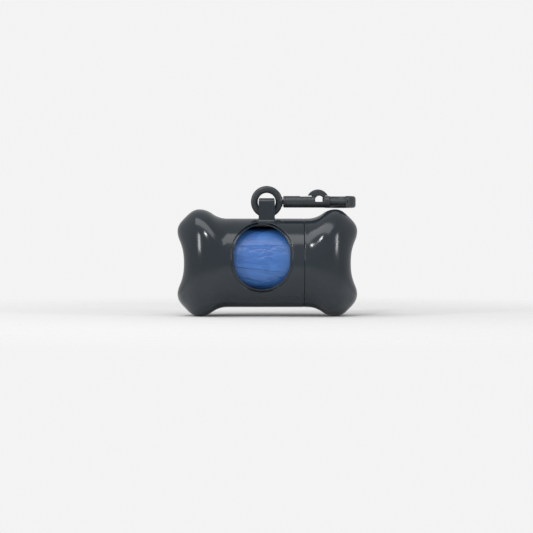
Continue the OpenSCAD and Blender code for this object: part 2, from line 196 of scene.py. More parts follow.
class Bench:
    """The modelling operators that the pieces share."""

    @staticmethod
    def clear() -> None:
        """Leaves edit mode and deselects everything."""
        if bpy.context.object and bpy.context.object.mode != "OBJECT":
            bpy.ops.object.mode_set(mode="OBJECT")
        bpy.ops.object.select_all(action="DESELECT")

    @staticmethod
    def pick(piece: Piece) -> None:
        """Makes a piece the only selected one, and the active one."""
        Bench.clear()
        piece.select_set(True)
        bpy.context.view_layer.objects.active = piece

    @staticmethod
    def edit(piece: Piece, mode: str = "VERT") -> bmesh.types.BMesh:
        """Opens a piece in edit mode.

        Args:
            piece: Piece to open.
            mode: Select mode, VERT, EDGE or FACE.

        Returns:
            The mesh being edited.
        """
        Bench.pick(piece)
        bpy.ops.object.mode_set(mode="EDIT")
        bpy.ops.mesh.select_mode(type=mode)
        return bmesh.from_edit_mesh(piece.data)

    @staticmethod
    def loft(name: str, rings: Sequence[Ring], closed: bool = True) -> Piece:
        """Extrudes a ring of vertices from place to place.

        Args:
            name: Name of the new piece.
            rings: Rings with the same number of points each.
            closed: Whether both ends are filled with a fan.

        Returns:
            The new piece.
        """
        Bench.clear()
        bpy.ops.mesh.primitive_circle_add(vertices=len(rings[0]), radius=1.0, fill_type="NOTHING")
        piece = bpy.context.object
        piece.name = name
        shape = Bench.edit(piece)
        side = shape.verts.layers.int.new("side")
        for vert in shape.verts:
            vert[side] = vert.index
            vert.co = rings[0][vert.index]
            vert.select = True
        shape.select_flush(True)
        if closed:
            Bench._fan(piece)
        for ring in rings[1:]:
            bpy.ops.mesh.extrude_edges_move()
            shape = bmesh.from_edit_mesh(piece.data)
            side = shape.verts.layers.int["side"]
            for vert in shape.verts:
                if vert.select:
                    vert.co = ring[vert[side]]
        if closed:
            Bench._fan(piece)
        bpy.ops.mesh.select_all(action="SELECT")
        bpy.ops.mesh.normals_make_consistent(inside=False)
        bpy.ops.object.mode_set(mode="OBJECT")
        piece.data.attributes.remove(piece.data.attributes["side"])
        return piece

    @staticmethod
    def _fan(piece: Piece) -> None:
        """Closes the selected ring with a fan and leaves the ring selected."""
        bpy.ops.mesh.edge_face_add()
        bpy.ops.mesh.select_mode(type="FACE")
        bpy.ops.mesh.poke()
        bpy.ops.mesh.region_to_loop()
        bpy.ops.mesh.select_mode(type="EDGE")
        bpy.ops.mesh.select_mode(type="VERT")
        bmesh.update_edit_mesh(piece.data)

    @staticmethod
    def spin(name: str, section: Ring, centre: Vector, axis: Vector, steps: int) -> Piece:
        """Turns a closed section once round an axis.

        Args:
            name: Name of the new piece.
            section: Points of the section.
            centre: Point on the axis.
            axis: Direction of the axis.
            steps: Steps of the whole turn.

        Returns:
            The new piece.
        """
        Bench.clear()
        bpy.ops.mesh.primitive_circle_add(vertices=len(section), radius=1.0, fill_type="NOTHING")
        piece = bpy.context.object
        piece.name = name
        shape = Bench.edit(piece)
        for vert in shape.verts:
            vert.co = section[vert.index]
        bmesh.update_edit_mesh(piece.data)
        bpy.ops.mesh.spin(steps=steps, angle=2 * math.pi, center=centre, axis=axis)
        bpy.ops.mesh.select_all(action="SELECT")
        bpy.ops.mesh.remove_doubles(threshold=0.001 * MM)
        bpy.ops.mesh.normals_make_consistent(inside=False)
        bpy.ops.object.mode_set(mode="OBJECT")
        return piece

    @staticmethod
    def turned(
        name: str, path: Sequence[Pair], centre: Pair, sides: int
    ) -> Piece:
        """Turns an open outline about an axis along X and closes both its ends.

        Args:
            name: Name of the new piece.
            path: Places and radii along the axis, in millimetres.
            centre: Y and Z of the axis.
            sides: Points round each ring.

        Returns:
            The new piece.
        """
        turns = whole_turn(sides)
        return Bench.loft(name, [
            [mm(x, centre[0] + r * math.sin(turn), centre[1] + r * math.cos(turn)) for turn in turns]
            for x, r in path
        ])

    @staticmethod
    def block(name: str, low: Vector, high: Vector) -> Piece:
        """Adds a block between two corners, in metres."""
        Bench.clear()
        bpy.ops.mesh.primitive_cube_add(size=1.0, location=(low + high) / 2, scale=high - low)
        piece = bpy.context.object
        piece.name = name
        bpy.ops.object.transform_apply(location=True, rotation=True, scale=True)
        return piece

    @staticmethod
    def apply(piece: Piece, kind: str, **settings: object) -> None:
        """Adds a modifier to a piece and applies it.

        Args:
            piece: Piece to change.
            kind: Type of the modifier.
            **settings: Settings of the modifier.
        """
        Bench.pick(piece)
        modifier = piece.modifiers.new(kind.lower(), kind)
        for key, value in settings.items():
            setattr(modifier, key, value)
        bpy.ops.object.modifier_apply(modifier=modifier.name)

    @staticmethod
    def cut(piece: Piece, tool: Piece, how: str = "DIFFERENCE") -> None:
        """Cuts a piece with a tool, or adds the tool to it, and removes the tool.

        Args:
            piece: Piece to change.
            tool: The other shape.
            how: DIFFERENCE, UNION or INTERSECT.
        """
        Bench.apply(piece, "BOOLEAN", object=tool, operation=how, solver="EXACT")
        bpy.data.objects.remove(tool)

    @staticmethod
    def join(name: str, pieces: Sequence[Piece]) -> Piece:
        """Makes one piece of several.

        Args:
            name: Name of the whole piece.
            pieces: Shapes that it is made of, each closed.

        Returns:
            The piece.
        """
        Bench.pick(pieces[0])
        for part in pieces:
            part.select_set(True)
        bpy.ops.object.join()
        pieces[0].name = name
        return pieces[0]

    @staticmethod
    def soften(piece: Piece, width: float, segments: int = 3, angle: float = 40) -> None:
        """Rounds the sharp edges of a piece.

        Args:
            piece: Piece to change.
            width: Width of the rounding in millimetres.
            segments: Stretches across it.
            angle: Least angle of an edge that is rounded, in degrees.
        """
        Bench.apply(
            piece, "BEVEL", width=width * MM, segments=segments, limit_method="ANGLE",
            angle_limit=math.radians(angle), harden_normals=False, use_clamp_overlap=True,
        )

    @staticmethod
    def smooth(piece: Piece, angle: float = 35) -> None:
        """Shades a piece smooth, except over edges sharper than an angle in degrees."""
        Bench.pick(piece)
        bpy.ops.object.shade_smooth_by_angle(angle=math.radians(angle))


@dataclass(frozen=True)
class CaseSizes:
    """Sizes that the two halves of the case share, in millimetres."""

    length: float = 82.74
    height: float = 49.32
    waist_r: float = 20.4
    lobe_r: float = 10.0
    lobe_flat: float = 1.0
    notch_depth: float = 3.2
    lobe_blend_r: float = 12.0
    end_corner_r: float = 13.5
    squareness: float = 0.4
    axis_z: float = AXIS_Z
    seam_x: float = 16.8
    seam_round: float = 0.35
    neck_r: float = 18.4
    neck_end_x: float = 24.8
    bore_r: float = 16.8
    cavity_x: float = 35.9
    cavity_round: float = 5.0
    thread_pitch: float = 2.6
    thread_h: float = 0.35


class Skin:
    """Outside of the bone, as rings of points round its long axis."""

    SIDES = 192
    NOTCH_STEPS = 12
    LOBE_STEPS = 38
    BLEND_STEPS = 14
    FOOT_EASE = 0.12
    THREAD_STEPS = 44
    THREAD_RUN_OUT = 1.2
    RIDGE_RISE = (0.0, 0.25)
    RIDGE_FALL = (0.4, 0.65)

    def __init__(self, sizes: CaseSizes) -> None:
        """Works out the meridians over the lobes and over the front.

        Args:
            sizes: Sizes of the case.
        """
        self.sizes = sizes
        pole_x = sizes.length / 2 - sizes.notch_depth
        lobe_x = sizes.length / 2 - sizes.lobe_r
        lobe_z = sizes.height / 2 - sizes.lobe_r
        notch_x = (lobe_x ** 2 + lobe_z ** 2 - (pole_x - sizes.lobe_r) ** 2) / (
            2 * (lobe_x - pole_x + sizes.lobe_r)
        )
        notch_turn = math.atan2(lobe_z, lobe_x - notch_x)
        blend_z = sizes.waist_r + sizes.lobe_blend_r
        span = math.sqrt((sizes.lobe_blend_r + sizes.lobe_r) ** 2 - (blend_z - lobe_z) ** 2)
        self.blend_x = lobe_x - span
        blend_turn = math.atan2(blend_z - lobe_z, -span)
        corner_x = pole_x - sizes.end_corner_r
        corner_r = sizes.waist_r - sizes.end_corner_r
        self.lobed = [
            *arc((notch_x, 0), notch_x - pole_x, math.pi, notch_turn, self.NOTCH_STEPS),
            *self.lobe_arc((lobe_x, lobe_z), notch_turn - math.pi, blend_turn)[1:],
            *arc(
                (self.blend_x, blend_z), sizes.lobe_blend_r,
                blend_turn - math.pi, -math.pi / 2, self.BLEND_STEPS,
            )[1:],
        ]
        self.plain = [
            *line((pole_x, 0), (pole_x, corner_r), self.NOTCH_STEPS),
            *arc((corner_x, corner_r), sizes.end_corner_r, 0, math.pi / 2, self.LOBE_STEPS)[1:],
            *line((corner_x, sizes.waist_r), (self.blend_x, sizes.waist_r), self.BLEND_STEPS)[1:],
        ]
        self.angles = whole_turn(self.SIDES)

    def lobe_arc(self, centre: Pair, start: float, end: float) -> list[Pair]:
        """Returns points along a lobe, flatter than a circle at its outer corner."""
        points = []
        for turn in spread(start, end, self.LOBE_STEPS):
            corner = math.sin(2 * turn) ** 2 if 0 < turn < math.pi / 2 else 0.0
            r = self.sizes.lobe_r - self.sizes.lobe_flat * corner
            points.append((centre[0] + r * math.cos(turn), centre[1] + r * math.sin(turn)))
        return points

    def ring(self, station: int, end: int) -> Ring:
        """Returns the ring at a station of one end.

        Args:
            station: Number of the station, counted from the pole.
            end: 1 for the right end, -1 for the left end.

        Returns:
            The points of the ring, in metres.
        """
        fade = max(0, station - self.NOTCH_STEPS - self.LOBE_STEPS) / self.BLEND_STEPS
        squareness = self.sizes.squareness * (1 + math.cos(math.pi * fade)) / 2
        exponent = 2 / (2 + squareness)
        lobed_x, lobed_z = self.lobed[station]
        plain_x, plain_r = self.plain[station]
        ring = []
        for angle in self.angles:
            up = math.copysign(abs(math.cos(angle)) ** exponent, math.cos(angle))
            back = math.copysign(abs(math.sin(angle)) ** exponent, math.sin(angle))
            x = plain_x + (lobed_x - plain_x) * math.cos(angle) ** 2
            ring.append(mm(end * x, plain_r * back, self.footed(lobed_z * up)))
        return ring

    def footed(self, up: float) -> float:
        """Returns a height over the floor, with the lobes' feet flattened on it."""
        z = self.sizes.axis_z + up
        return (z + math.hypot(z, self.FOOT_EASE)) / 2

    def end_rings(self, end: int) -> list[Ring]:
        """Returns the rings of one end, from next to the pole to the straight middle."""
        return [self.ring(station, end) for station in range(1, len(self.lobed))]

    def round_ring(self, x: float, radius: float, growth: Optional[Callable[[float], float]] = None) -> Ring:
        """Returns a round ring about the case's axis.

        Args:
            x: Place along the axis.
            radius: Radius of the ring.
            growth: Gives what is added to the radius at an angle.

        Returns:
            The points of the ring, in metres.
        """
        ring = []
        for angle in self.angles:
            r = radius + (growth(angle) if growth else 0.0)
            ring.append(mm(x, r * math.sin(angle), self.sizes.axis_z + r * math.cos(angle)))
        return ring

    def round_rings(self, path: Sequence[Pair]) -> list[Ring]:
        """Returns round rings at the points of a path of places and radii."""
        return [self.round_ring(x, r) for x, r in path]

    def thread_rings(self, start: float, end: float, radius: float, height: float) -> list[Ring]:
        """Returns rings of a screw thread that runs out at both ends.

        Args:
            start: Place of its first ring.
            end: Place of its last ring.
            radius: Radius between the thread's ridges.
            height: Height of the ridges, below 0 where they stand inwards.

        Returns:
            The rings from start to end.
        """
        run_out = self.THREAD_RUN_OUT
        rings = []
        for x in spread(start, end, self.THREAD_STEPS):
            fade = blend(start, start + run_out, x) * (1 - blend(end - run_out, end, x))

            def growth(angle: float) -> float:
                phase = ((x - start) / self.sizes.thread_pitch - angle / (2 * math.pi)) % 1
                return height * fade * blend(*self.RIDGE_RISE, phase) * (1 - blend(*self.RIDGE_FALL, phase))

            rings.append(self.round_ring(x, radius, growth))
        return rings


@dataclass(frozen=True)
class DispensingHole:
    """Oval hole in the front of the case, with a sunk rim round it."""

    x: float = -2.4
    up: float = 2.7
    width: float = 25.2
    height: float = 29.2
    rim_w: float = 1.3
    rim_depth: float = 0.8
    rim_round: float = 0.28
    lip_round: float = 0.3
    fillet: float = 0.25
    reach: float = 12.0
    wall_depth: float = 1.5
    ARC_STEPS = 72
    SIDE_SHARES = (0.75, 0.5, 0.25, 0.0, -0.25, -0.5, -0.75)

    def outline(self) -> list[tuple[float, float, float, float]]:
        """Returns points of the outline with the direction outwards at each of them."""
        radius = self.width / 2
        half = (self.height - self.width) / 2
        points = []
        for side in (1, -1):
            for angle in spread(0.0, math.pi, self.ARC_STEPS):
                out = (side * math.cos(angle), side * math.sin(angle))
                points.append((radius * out[0], radius * out[1] + side * half, *out))
            for share in self.SIDE_SHARES:
                points.append((-side * radius, side * half * share, -side, 0.0))
        return points

    def ring(self, sizes: CaseSizes, margin: float, depth: float) -> Ring:
        """Returns the outline, grown by a margin, at a depth under the skin.

        Args:
            sizes: Sizes of the case.
            margin: Distance outside the hole.
            depth: Depth under the round middle of the case.

        Returns:
            The points of the ring, in metres.
        """
        ring = []
        radius = sizes.waist_r - depth
        for x, z, out_x, out_z in self.outline():
            up = self.up + z + margin * out_z
            y = -math.sqrt(radius ** 2 - up ** 2)
            ring.append(mm(self.x + x + margin * out_x, y, sizes.axis_z + up))
        return ring

    def cutter(self, sizes: CaseSizes) -> Piece:
        """Returns the shape that cuts the hole with its rounded rim."""
        outer = self.rim_w + self.rim_round
        path = rounded_path([
            (outer + 0.1, -self.reach, 0), (outer + 0.1, -0.05, 0), (outer, 0.0, 0), (self.rim_w, 0.0, 0),
            (self.rim_w, self.rim_depth, self.fillet), (0.0, self.rim_depth, self.lip_round),
            (0.0, self.wall_depth, 0),
        ])
        shoulder = arc((outer, self.rim_round), self.rim_round, -math.pi / 2, -math.pi, 4)
        rings = [self.ring(sizes, margin, depth) for margin, depth in path[:2] + shoulder + path[4:]]
        back = [Vector((point.x, 0.0, point.z)) for point in self.ring(sizes, 0.0, self.wall_depth)]
        return Bench.loft("hole_cutter", [*rings, back])


@dataclass(frozen=True)
class LoopArch:
    """Arch on top of the case that the clip's eye turns on."""

    x: float = -0.3
    z: float = 52.5
    width: float = 14.4
    leg_t: float = 3.2
    bar_r: float = 3.7
    bar_flat: float = 1.6
    shoulder_r: float = 2.2
    root_z: float = 42.0
    edge: float = 0.45
    foot_r: float = 1.1
    foot_sink: float = 0.03
    over: float = 1.0
    gap_reach: float = 10.0
    FOOT_HEIGHTS = (-0.9, -0.15, 0.0, 0.1, 0.22, 0.36, 0.52, 0.7, 0.9, 1.1, 1.5)
    FOOT_CORNER_STEPS = 6

    def along_y(self, name: str, profile: Sequence[Pair], reach: float) -> Piece:
        """Returns a shape with one profile in X and Z, from -reach to reach in Y."""
        return Bench.loft(name, [[mm(self.x + x, y, z) for x, z in profile] for y in (-reach, reach)])

    def arch(self) -> Piece:
        """Returns the arch with its round bar and rounded edges."""
        half_w = self.width / 2
        top = self.z + self.bar_flat
        wide = self.bar_r + self.over
        outline = rounded_path(
            [
                (0, self.root_z, 0), (half_w, self.root_z, 0), (half_w, top, self.shoulder_r),
                (-half_w, top, self.shoulder_r), (-half_w, self.root_z, 0), (0, self.root_z, 0),
            ],
            steps=8,
        )[:-1]
        arch = Bench.loft("arch", [[mm(self.x + x, y, z) for y, z in outline] for x in (-wide, wide)])
        under = self.root_z - self.over
        half_turn = arc((0, self.z), self.bar_r, 0, math.pi, 40)
        bar = self.along_y("bar", [*half_turn, (-self.bar_r, under), (self.bar_r, under)], half_w + self.over)
        Bench.cut(arch, bar, "INTERSECT")
        opening = half_w - self.leg_t
        low = mm(self.x - self.gap_reach, -opening, self.root_z - 2 * self.over)
        gap = Bench.block("gap", low, mm(self.x + self.gap_reach, opening, self.z + self.gap_reach))
        core = self.along_y("core", arc((0, self.z), self.bar_r, 0, 2 * math.pi, 80)[:-1], half_w)
        Bench.cut(gap, core)
        Bench.cut(arch, gap)
        Bench.soften(arch, self.edge, segments=4, angle=45)
        return arch

    def foot(self, sizes: CaseSizes, side: int) -> Piece:
        """Returns the flared foot of one leg, which blends it into the case.

        Args:
            sizes: Sizes of the case.
            side: 1 for the back leg, -1 for the front leg.

        Returns:
            The foot as a closed shape.
        """
        middle = side * (self.width - self.leg_t) / 2
        corner = self.edge + 0.2
        base = []
        for end_x, end_y in ((1, 1), (-1, 1), (-1, -1), (1, -1)):
            start = math.atan2(end_y, end_x) - math.pi / 4
            for bend in spread(0.0, math.pi / 2, self.FOOT_CORNER_STEPS):
                turn = start + bend
                base.append((
                    end_x * (self.bar_r - corner) + corner * math.cos(turn),
                    end_y * (self.leg_t / 2 - corner) + corner * math.sin(turn),
                    math.cos(turn), math.sin(turn),
                ))
        rings = []
        for height in self.FOOT_HEIGHTS:
            share = 1 - min(max(height, 0.0) / self.foot_r, 1.0)
            flare = self.foot_r * (1 - math.sqrt(1 - share ** 2)) - self.foot_sink
            ring = []
            for x, y, out_x, out_y in base:
                across = middle + y + flare * out_y
                top = sizes.axis_z + math.sqrt(sizes.waist_r ** 2 - across ** 2)
                ring.append(mm(self.x + x + flare * out_x, across, top + height))
            rings.append(ring)
        return Bench.loft("foot", rings)


def cavity_corner(sizes: CaseSizes) -> list[Pair]:
    """Returns the rounded corner at the right end of the cavity, as places and radii."""
    bend = sizes.cavity_round
    return arc((sizes.cavity_x - bend, sizes.bore_r - bend), bend, math.pi / 2, 0, 10)


@dataclass
class CaseBody:
    """Left lobes, middle, hole, loop and threaded neck: one moulding."""

    sizes: CaseSizes
    hole: DispensingHole = DispensingHole()
    loop: LoopArch = LoopArch()
    neck_lead: float = 0.5
    root_round: float = 0.3
    root_end_x: float = 17.6
    thread_x: Pair = (17.9, 23.9)
    lip: float = 0.2
    MIDDLE_STEPS = 26
    BORE_STEPS = 28
    DOME_RADII = (9.0, 6.0, 3.0, 1.0)

    def build(self) -> Piece:
        """Builds the moulding.

        Returns:
            The finished piece.
        """
        sizes = self.sizes
        skin = Skin(sizes)
        bend = sizes.seam_round
        edge = (sizes.seam_x - bend, sizes.waist_r)
        middle = line((-skin.blend_x, sizes.waist_r), edge, self.MIDDLE_STEPS)[1:]
        seam = arc((edge[0], sizes.waist_r - bend), bend, math.pi / 2, 0, 5)[1:]
        neck_root = rounded_path([
            (sizes.seam_x, sizes.waist_r - bend, 0), (sizes.seam_x, sizes.neck_r, self.root_round),
            (self.root_end_x, sizes.neck_r, 0),
        ])[1:]
        bore_start = (sizes.neck_end_x - self.lip, sizes.bore_r)
        lead = [
            (sizes.neck_end_x - self.neck_lead, sizes.neck_r - self.lip / 2),
            (sizes.neck_end_x, sizes.neck_r - self.neck_lead),
            (sizes.neck_end_x, sizes.bore_r + self.lip),
            bore_start,
        ]
        bore = line(bore_start, (sizes.cavity_round - sizes.cavity_x, sizes.bore_r), self.BORE_STEPS)[1:]
        dome = [(-x, r) for x, r in cavity_corner(sizes)[1:]]
        dome += [(-sizes.cavity_x, r) for r in self.DOME_RADII]
        rings = [
            *skin.end_rings(-1),
            *skin.round_rings(middle + seam + neck_root),
            *skin.thread_rings(*self.thread_x, sizes.neck_r - sizes.thread_h, sizes.thread_h),
            *skin.round_rings(lead + bore + dome),
        ]
        body = Bench.loft("case_body", rings)
        Bench.cut(body, self.hole.cutter(sizes))
        feet = [self.loop.foot(sizes, side) for side in (-1, 1)]
        body = Bench.join("case_body", [body, self.loop.arch(), *feet])
        Bench.smooth(body, 38)
        Bench.apply(body, "WEIGHTED_NORMAL", keep_sharp=True, weight=60)
        return body


@dataclass
class CaseCap:
    """Right lobes with the boss that holds the spindle: one moulding."""

    sizes: CaseSizes
    neck_gap: float = 0.2
    seam_gap: float = 0.04
    boss_len: float = 4.4
    boss_r: float = 4.58
    socket_r: float = 2.58
    thread_x: Pair = (17.4, 24.0)
    thread_ease: float = 0.1
    shoulder_x: float = 24.2
    boss_foot_r: float = 9.0
    socket_pole_r: float = 0.6

    def build(self) -> Piece:
        """Builds the cap.

        Returns:
            The finished piece.
        """
        sizes = self.sizes
        skin = Skin(sizes)
        bend = sizes.seam_round
        sleeve_r = sizes.neck_r + self.neck_gap
        sleeve_end = sizes.neck_end_x + self.neck_gap
        edge_x = sizes.seam_x + self.seam_gap
        middle = line((skin.blend_x, sizes.waist_r), (edge_x + bend, sizes.waist_r), 2)[1:]
        seam = arc((edge_x + bend, sizes.waist_r - bend), bend, math.pi / 2, math.pi, 5)[1:]
        mouth = [(edge_x, sleeve_r + 0.5), (edge_x + 0.3, sleeve_r + 0.2)]
        shoulder = rounded_path([
            (self.shoulder_x, sleeve_r, 0), (sleeve_end, sleeve_r, 0.3), (sleeve_end, sizes.bore_r, 0.3),
            (sleeve_end + 2, sizes.bore_r, 0),
        ])
        boss_x = sizes.cavity_x - self.boss_len
        boss = rounded_path([
            (sizes.cavity_x, self.boss_foot_r, 0), (sizes.cavity_x, self.boss_r, 0.8),
            (boss_x, self.boss_r, 0.3), (boss_x, self.socket_r, 0.4),
            (sizes.cavity_x, self.socket_r, 0.2), (sizes.cavity_x, self.socket_pole_r, 0),
        ])
        ridge = sizes.thread_h - self.thread_ease
        rings = [
            *skin.end_rings(1),
            *skin.round_rings(middle + seam + mouth),
            *skin.thread_rings(*self.thread_x, sleeve_r + ridge, -ridge),
            *skin.round_rings(shoulder + cavity_corner(sizes) + boss),
        ]
        cap = Bench.loft("case_cap", rings)
        Bench.smooth(cap, 38)
        return cap


def ridged(x: float, y: float, z: float, sharpness: float) -> float:
    """Returns a smooth noise folded into sharp ridges, from 0 to 1."""
    return (1 - abs(noise.noise(Vector((x, y, z))))) ** sharpness


@dataclass
class RollOfBags:
    """Wound film, its loose end and the tube in its middle."""

    axis_z: float = AXIS_Z
    start_x: float = -30.6
    end_x: float = 29.4
    roll_r: float = 16.0
    core_r: float = 7.1
    core_in_r: float = 5.9
    sides: int = 224
    tail_edge: float = 31.0
    tail_end: float = -72.0
    tail_t: float = 0.1
    fold_slope: float = 0.41
    end_sink: float = 0.35
    slack: float = 0.112
    rest: float = 0.14
    crease: float = 0.12
    fine_crease: float = 0.05
    END_STEPS = 18
    LENGTH_STEPS = 110
    INNER_STEPS = 8
    ACROSS_STEPS = 150
    ROUND_STEPS = 210
    EDGE_PLACES = (0.12, 0.35, 0.8)
    STRAIGHT_FROM = 1.5

    def point(self, x: float, r: float, angle: float) -> Vector:
        """Returns a point of the roll, with the angle counted up from its front."""
        return mm(x, -r * math.cos(angle), self.axis_z + r * math.sin(angle))

    def film_r(self, x: float, angle: float) -> float:
        """Returns the radius of the wound film, with its slack and its creases."""
        along = math.cos(angle)
        up = math.sin(angle)
        slack = self.slack * noise.noise(Vector((x * 0.05, along * 1.3, up * 1.3)))
        crease = self.crease * ridged(x * 0.045, along * 3.1, up * 3.1, 14)
        fine = self.fine_crease * ridged(x * 0.14 + 9, along * 2.3, up * 5.3, 9)
        return self.roll_r - self.rest + slack - crease - fine

    def film(self) -> Piece:
        """Builds the wound film with the edges of its layers at both ends."""
        turns = whole_turn(self.sides)
        radii = spread(self.core_r, self.roll_r - self.end_sink, self.END_STEPS)
        length = self.end_x - self.start_x
        places = [
            *self.EDGE_PLACES, *spread(self.STRAIGHT_FROM, length - self.STRAIGHT_FROM, self.LENGTH_STEPS),
            *(length - place for place in reversed(self.EDGE_PLACES)),
        ]
        rings = [[self.point(self.end_face(r, turn, -1), r, turn) for turn in turns] for r in radii]
        for place in places:
            x = self.start_x + place
            edge = 0.2 * (1 - blend(0.0, 0.8, min(place, length - place)))
            rings.append([self.point(x, self.film_r(x, turn) - edge, turn) for turn in turns])
        rings += [[self.point(self.end_face(r, turn, 1), r, turn) for turn in turns] for r in reversed(radii)]
        for x in spread(self.end_x - 0.3, self.start_x + 0.3, self.INNER_STEPS)[1:-1]:
            rings.append([self.point(x, self.core_r, turn) for turn in turns])
        rings.append(rings[0])
        return self.ring_closed("wound_film", rings)

    def end_face(self, r: float, angle: float, end: int) -> float:
        """Returns how far along the roll its layers reach at one end.

        Args:
            r: Radius on the end face.
            angle: Angle up from the front.
            end: 1 for the right end, -1 for the left end.

        Returns:
            The place along X.
        """
        spiral = r * 2.6 + angle / (2 * math.pi)
        step = 0.16 * abs(noise.noise(Vector((spiral, end * 7.3, math.cos(angle) * 0.6))))
        wave = 0.1 * abs(noise.noise(Vector((r * 0.4, math.cos(angle) * 2.1, math.sin(angle) * 2.1 + end))))
        reach = self.end_x if end > 0 else -self.start_x
        return end * (reach - 0.03 - step - wave)

    @staticmethod
    def ring_closed(name: str, rings: Sequence[Ring]) -> Piece:
        """Builds a shell whose last ring meets its first one."""
        piece = Bench.loft(name, rings, closed=False)
        Bench.edit(piece)
        bpy.ops.mesh.select_all(action="SELECT")
        bpy.ops.mesh.remove_doubles(threshold=0.0005 * MM)
        bpy.ops.mesh.normals_make_consistent(inside=False)
        bpy.ops.object.mode_set(mode="OBJECT")
        Bench.smooth(piece, 40)
        return piece

    def fold_r(self, x: float, degrees: float) -> float:
        """Returns how far the outer layer stands out over the fold that crosses the hole."""
        line = -7.1 - self.fold_slope * (x + 11) + 0.9 * noise.noise(Vector((x * 0.16, 3.7, 0)))
        ahead = degrees - line
        reach = blend(-17, -11, x) * (1 - blend(3, 9, x))
        rise = blend(-0.5, 0.35, ahead) * (1 - 0.85 * blend(0.3, 9.0, ahead))
        return 0.34 * reach * rise

    def tail(self) -> Piece:
        """Builds the loose end of the outermost bag, lying on the roll."""
        Bench.clear()
        bpy.ops.mesh.primitive_grid_add(
            x_subdivisions=self.ACROSS_STEPS, y_subdivisions=self.ROUND_STEPS, size=2.0
        )
        sheet = bpy.context.object
        sheet.name = "loose_end"
        shape = Bench.edit(sheet)
        for vert in shape.verts:
            share = (vert.co.x + 1) / 2
            down = (1 - vert.co.y) / 2
            x = self.start_x + 0.15 + (self.end_x - self.start_x - 0.3) * share
            edge = self.tail_edge + noise.noise(Vector((x * 0.07, 5.1, 0))) * 1.1
            edge += noise.noise(Vector((x * 0.31, 1.7, 0))) * 0.25
            degrees = edge + (self.tail_end - edge) * down ** 1.25
            angle = math.radians(degrees)
            lift = 0.3 + 0.12 * noise.noise(Vector((x * 0.11, 8.2, 0)))
            back = edge - degrees
            r = self.film_r(x, angle) + 0.14
            r += lift * math.exp(-(back / 2.6) ** 2) + 0.1 * math.exp(-(back / 9.0) ** 2)
            r += self.fold_r(x, degrees)
            r -= 0.3 * blend(self.tail_end + 14, self.tail_end, degrees)
            pucker = ridged(x * 0.09 + 4, degrees * 0.05, 2.2, 10) * 0.09
            vert.co = self.point(x, min(r - pucker, self.roll_r + 0.55), angle)
        bmesh.update_edit_mesh(sheet.data)
        bpy.ops.mesh.select_all(action="SELECT")
        bpy.ops.mesh.normals_make_consistent(inside=False)
        bpy.ops.object.mode_set(mode="OBJECT")
        Bench.apply(sheet, "SOLIDIFY", thickness=self.tail_t * MM, offset=-1.0)
        Bench.smooth(sheet, 60)
        return sheet

    def core(self) -> Piece:
        """Builds the tube that the film is wound on."""
        outer = self.core_r - 0.02
        low = self.start_x + 0.05
        high = self.end_x - 0.05
        path = rounded_path(
            [
                (0, self.core_in_r, 0), (high, self.core_in_r, 0.3), (high, outer, 0.25),
                (low, outer, 0.25), (low, self.core_in_r, 0.3), (0, self.core_in_r, 0),
            ],
            steps=4,
        )
        rings = [[self.point(x, r, turn) for turn in whole_turn(96)] for x, r in path]
        return self.ring_closed("core_tube", rings)


@dataclass
class Spindle:
    """Cross-ribbed spindle with the flange and journal that turn in the cap."""

    axis_z: float = AXIS_Z
    nose_x: float = -30.6
    flange_x: float = 31.2
    flange_t: float = 1.4
    flange_r: float = 9.0
    journal_r: float = 2.5
    journal_end_x: float = 35.6
    spindle_r: float = 5.6
    rib_t: float = 1.8
    relief_out: float = 6.9
    relief_r: float = 1.1
    edge: float = 0.25
    SIDES = 96
    RELIEF_SIDES = 30

    def build(self) -> Piece:
        """Builds the spindle.

        Returns:
            The finished piece.
        """
        back_x = self.flange_x - self.flange_t
        disc = rounded_path([
            (back_x, WIDE_TIP_R, 0), (back_x, self.flange_r, 0.35), (self.flange_x, self.flange_r, 0.35),
            (self.flange_x, self.journal_r, 0.3), (self.journal_end_x, self.journal_r, 0.4),
            (self.journal_end_x, TIP_R, 0),
        ])
        flange = Bench.turned("flange", disc, (0, self.axis_z), self.SIDES)
        path = rod_path(self.flange_x - 3, self.flange_x + 2, self.relief_r)
        for angle in spread(math.pi / 4, math.pi * 7 / 4, 3):
            spot = (self.relief_out * math.sin(angle), self.axis_z + self.relief_out * math.cos(angle))
            Bench.cut(flange, Bench.turned("relief", path, spot, self.RELIEF_SIDES))
        carrier = Bench.join("roll_carrier", [flange, self.rib(False), self.rib(True)])
        Bench.smooth(carrier, 35)
        return carrier

    def rib(self, upright: bool) -> Piece:
        """Returns two ribs in one plane, rounded at the nose.

        Args:
            upright: Whether the plane stands upright.

        Returns:
            The ribs as one closed shape.
        """
        half = self.rib_t / 2
        reach = self.spindle_r + 1
        wide = (half, reach) if upright else (reach, half)
        low = mm(self.nose_x - 1, -wide[0], self.axis_z - wide[1])
        high = mm(self.flange_x - 0.5, wide[0], self.axis_z + wide[1])
        rib = Bench.block("rib", low, high)
        nose = arc((self.nose_x + self.spindle_r, 0), self.spindle_r, math.pi - 0.08, math.pi / 2, 16)
        path = [*nose, (self.flange_x - 0.6, self.spindle_r), (self.flange_x - 0.6, WIDE_TIP_R)]
        Bench.cut(rib, Bench.turned("envelope", path, (0, self.axis_z), self.SIDES), "INTERSECT")
        Bench.soften(rib, self.edge, segments=3, angle=50)
        return rib


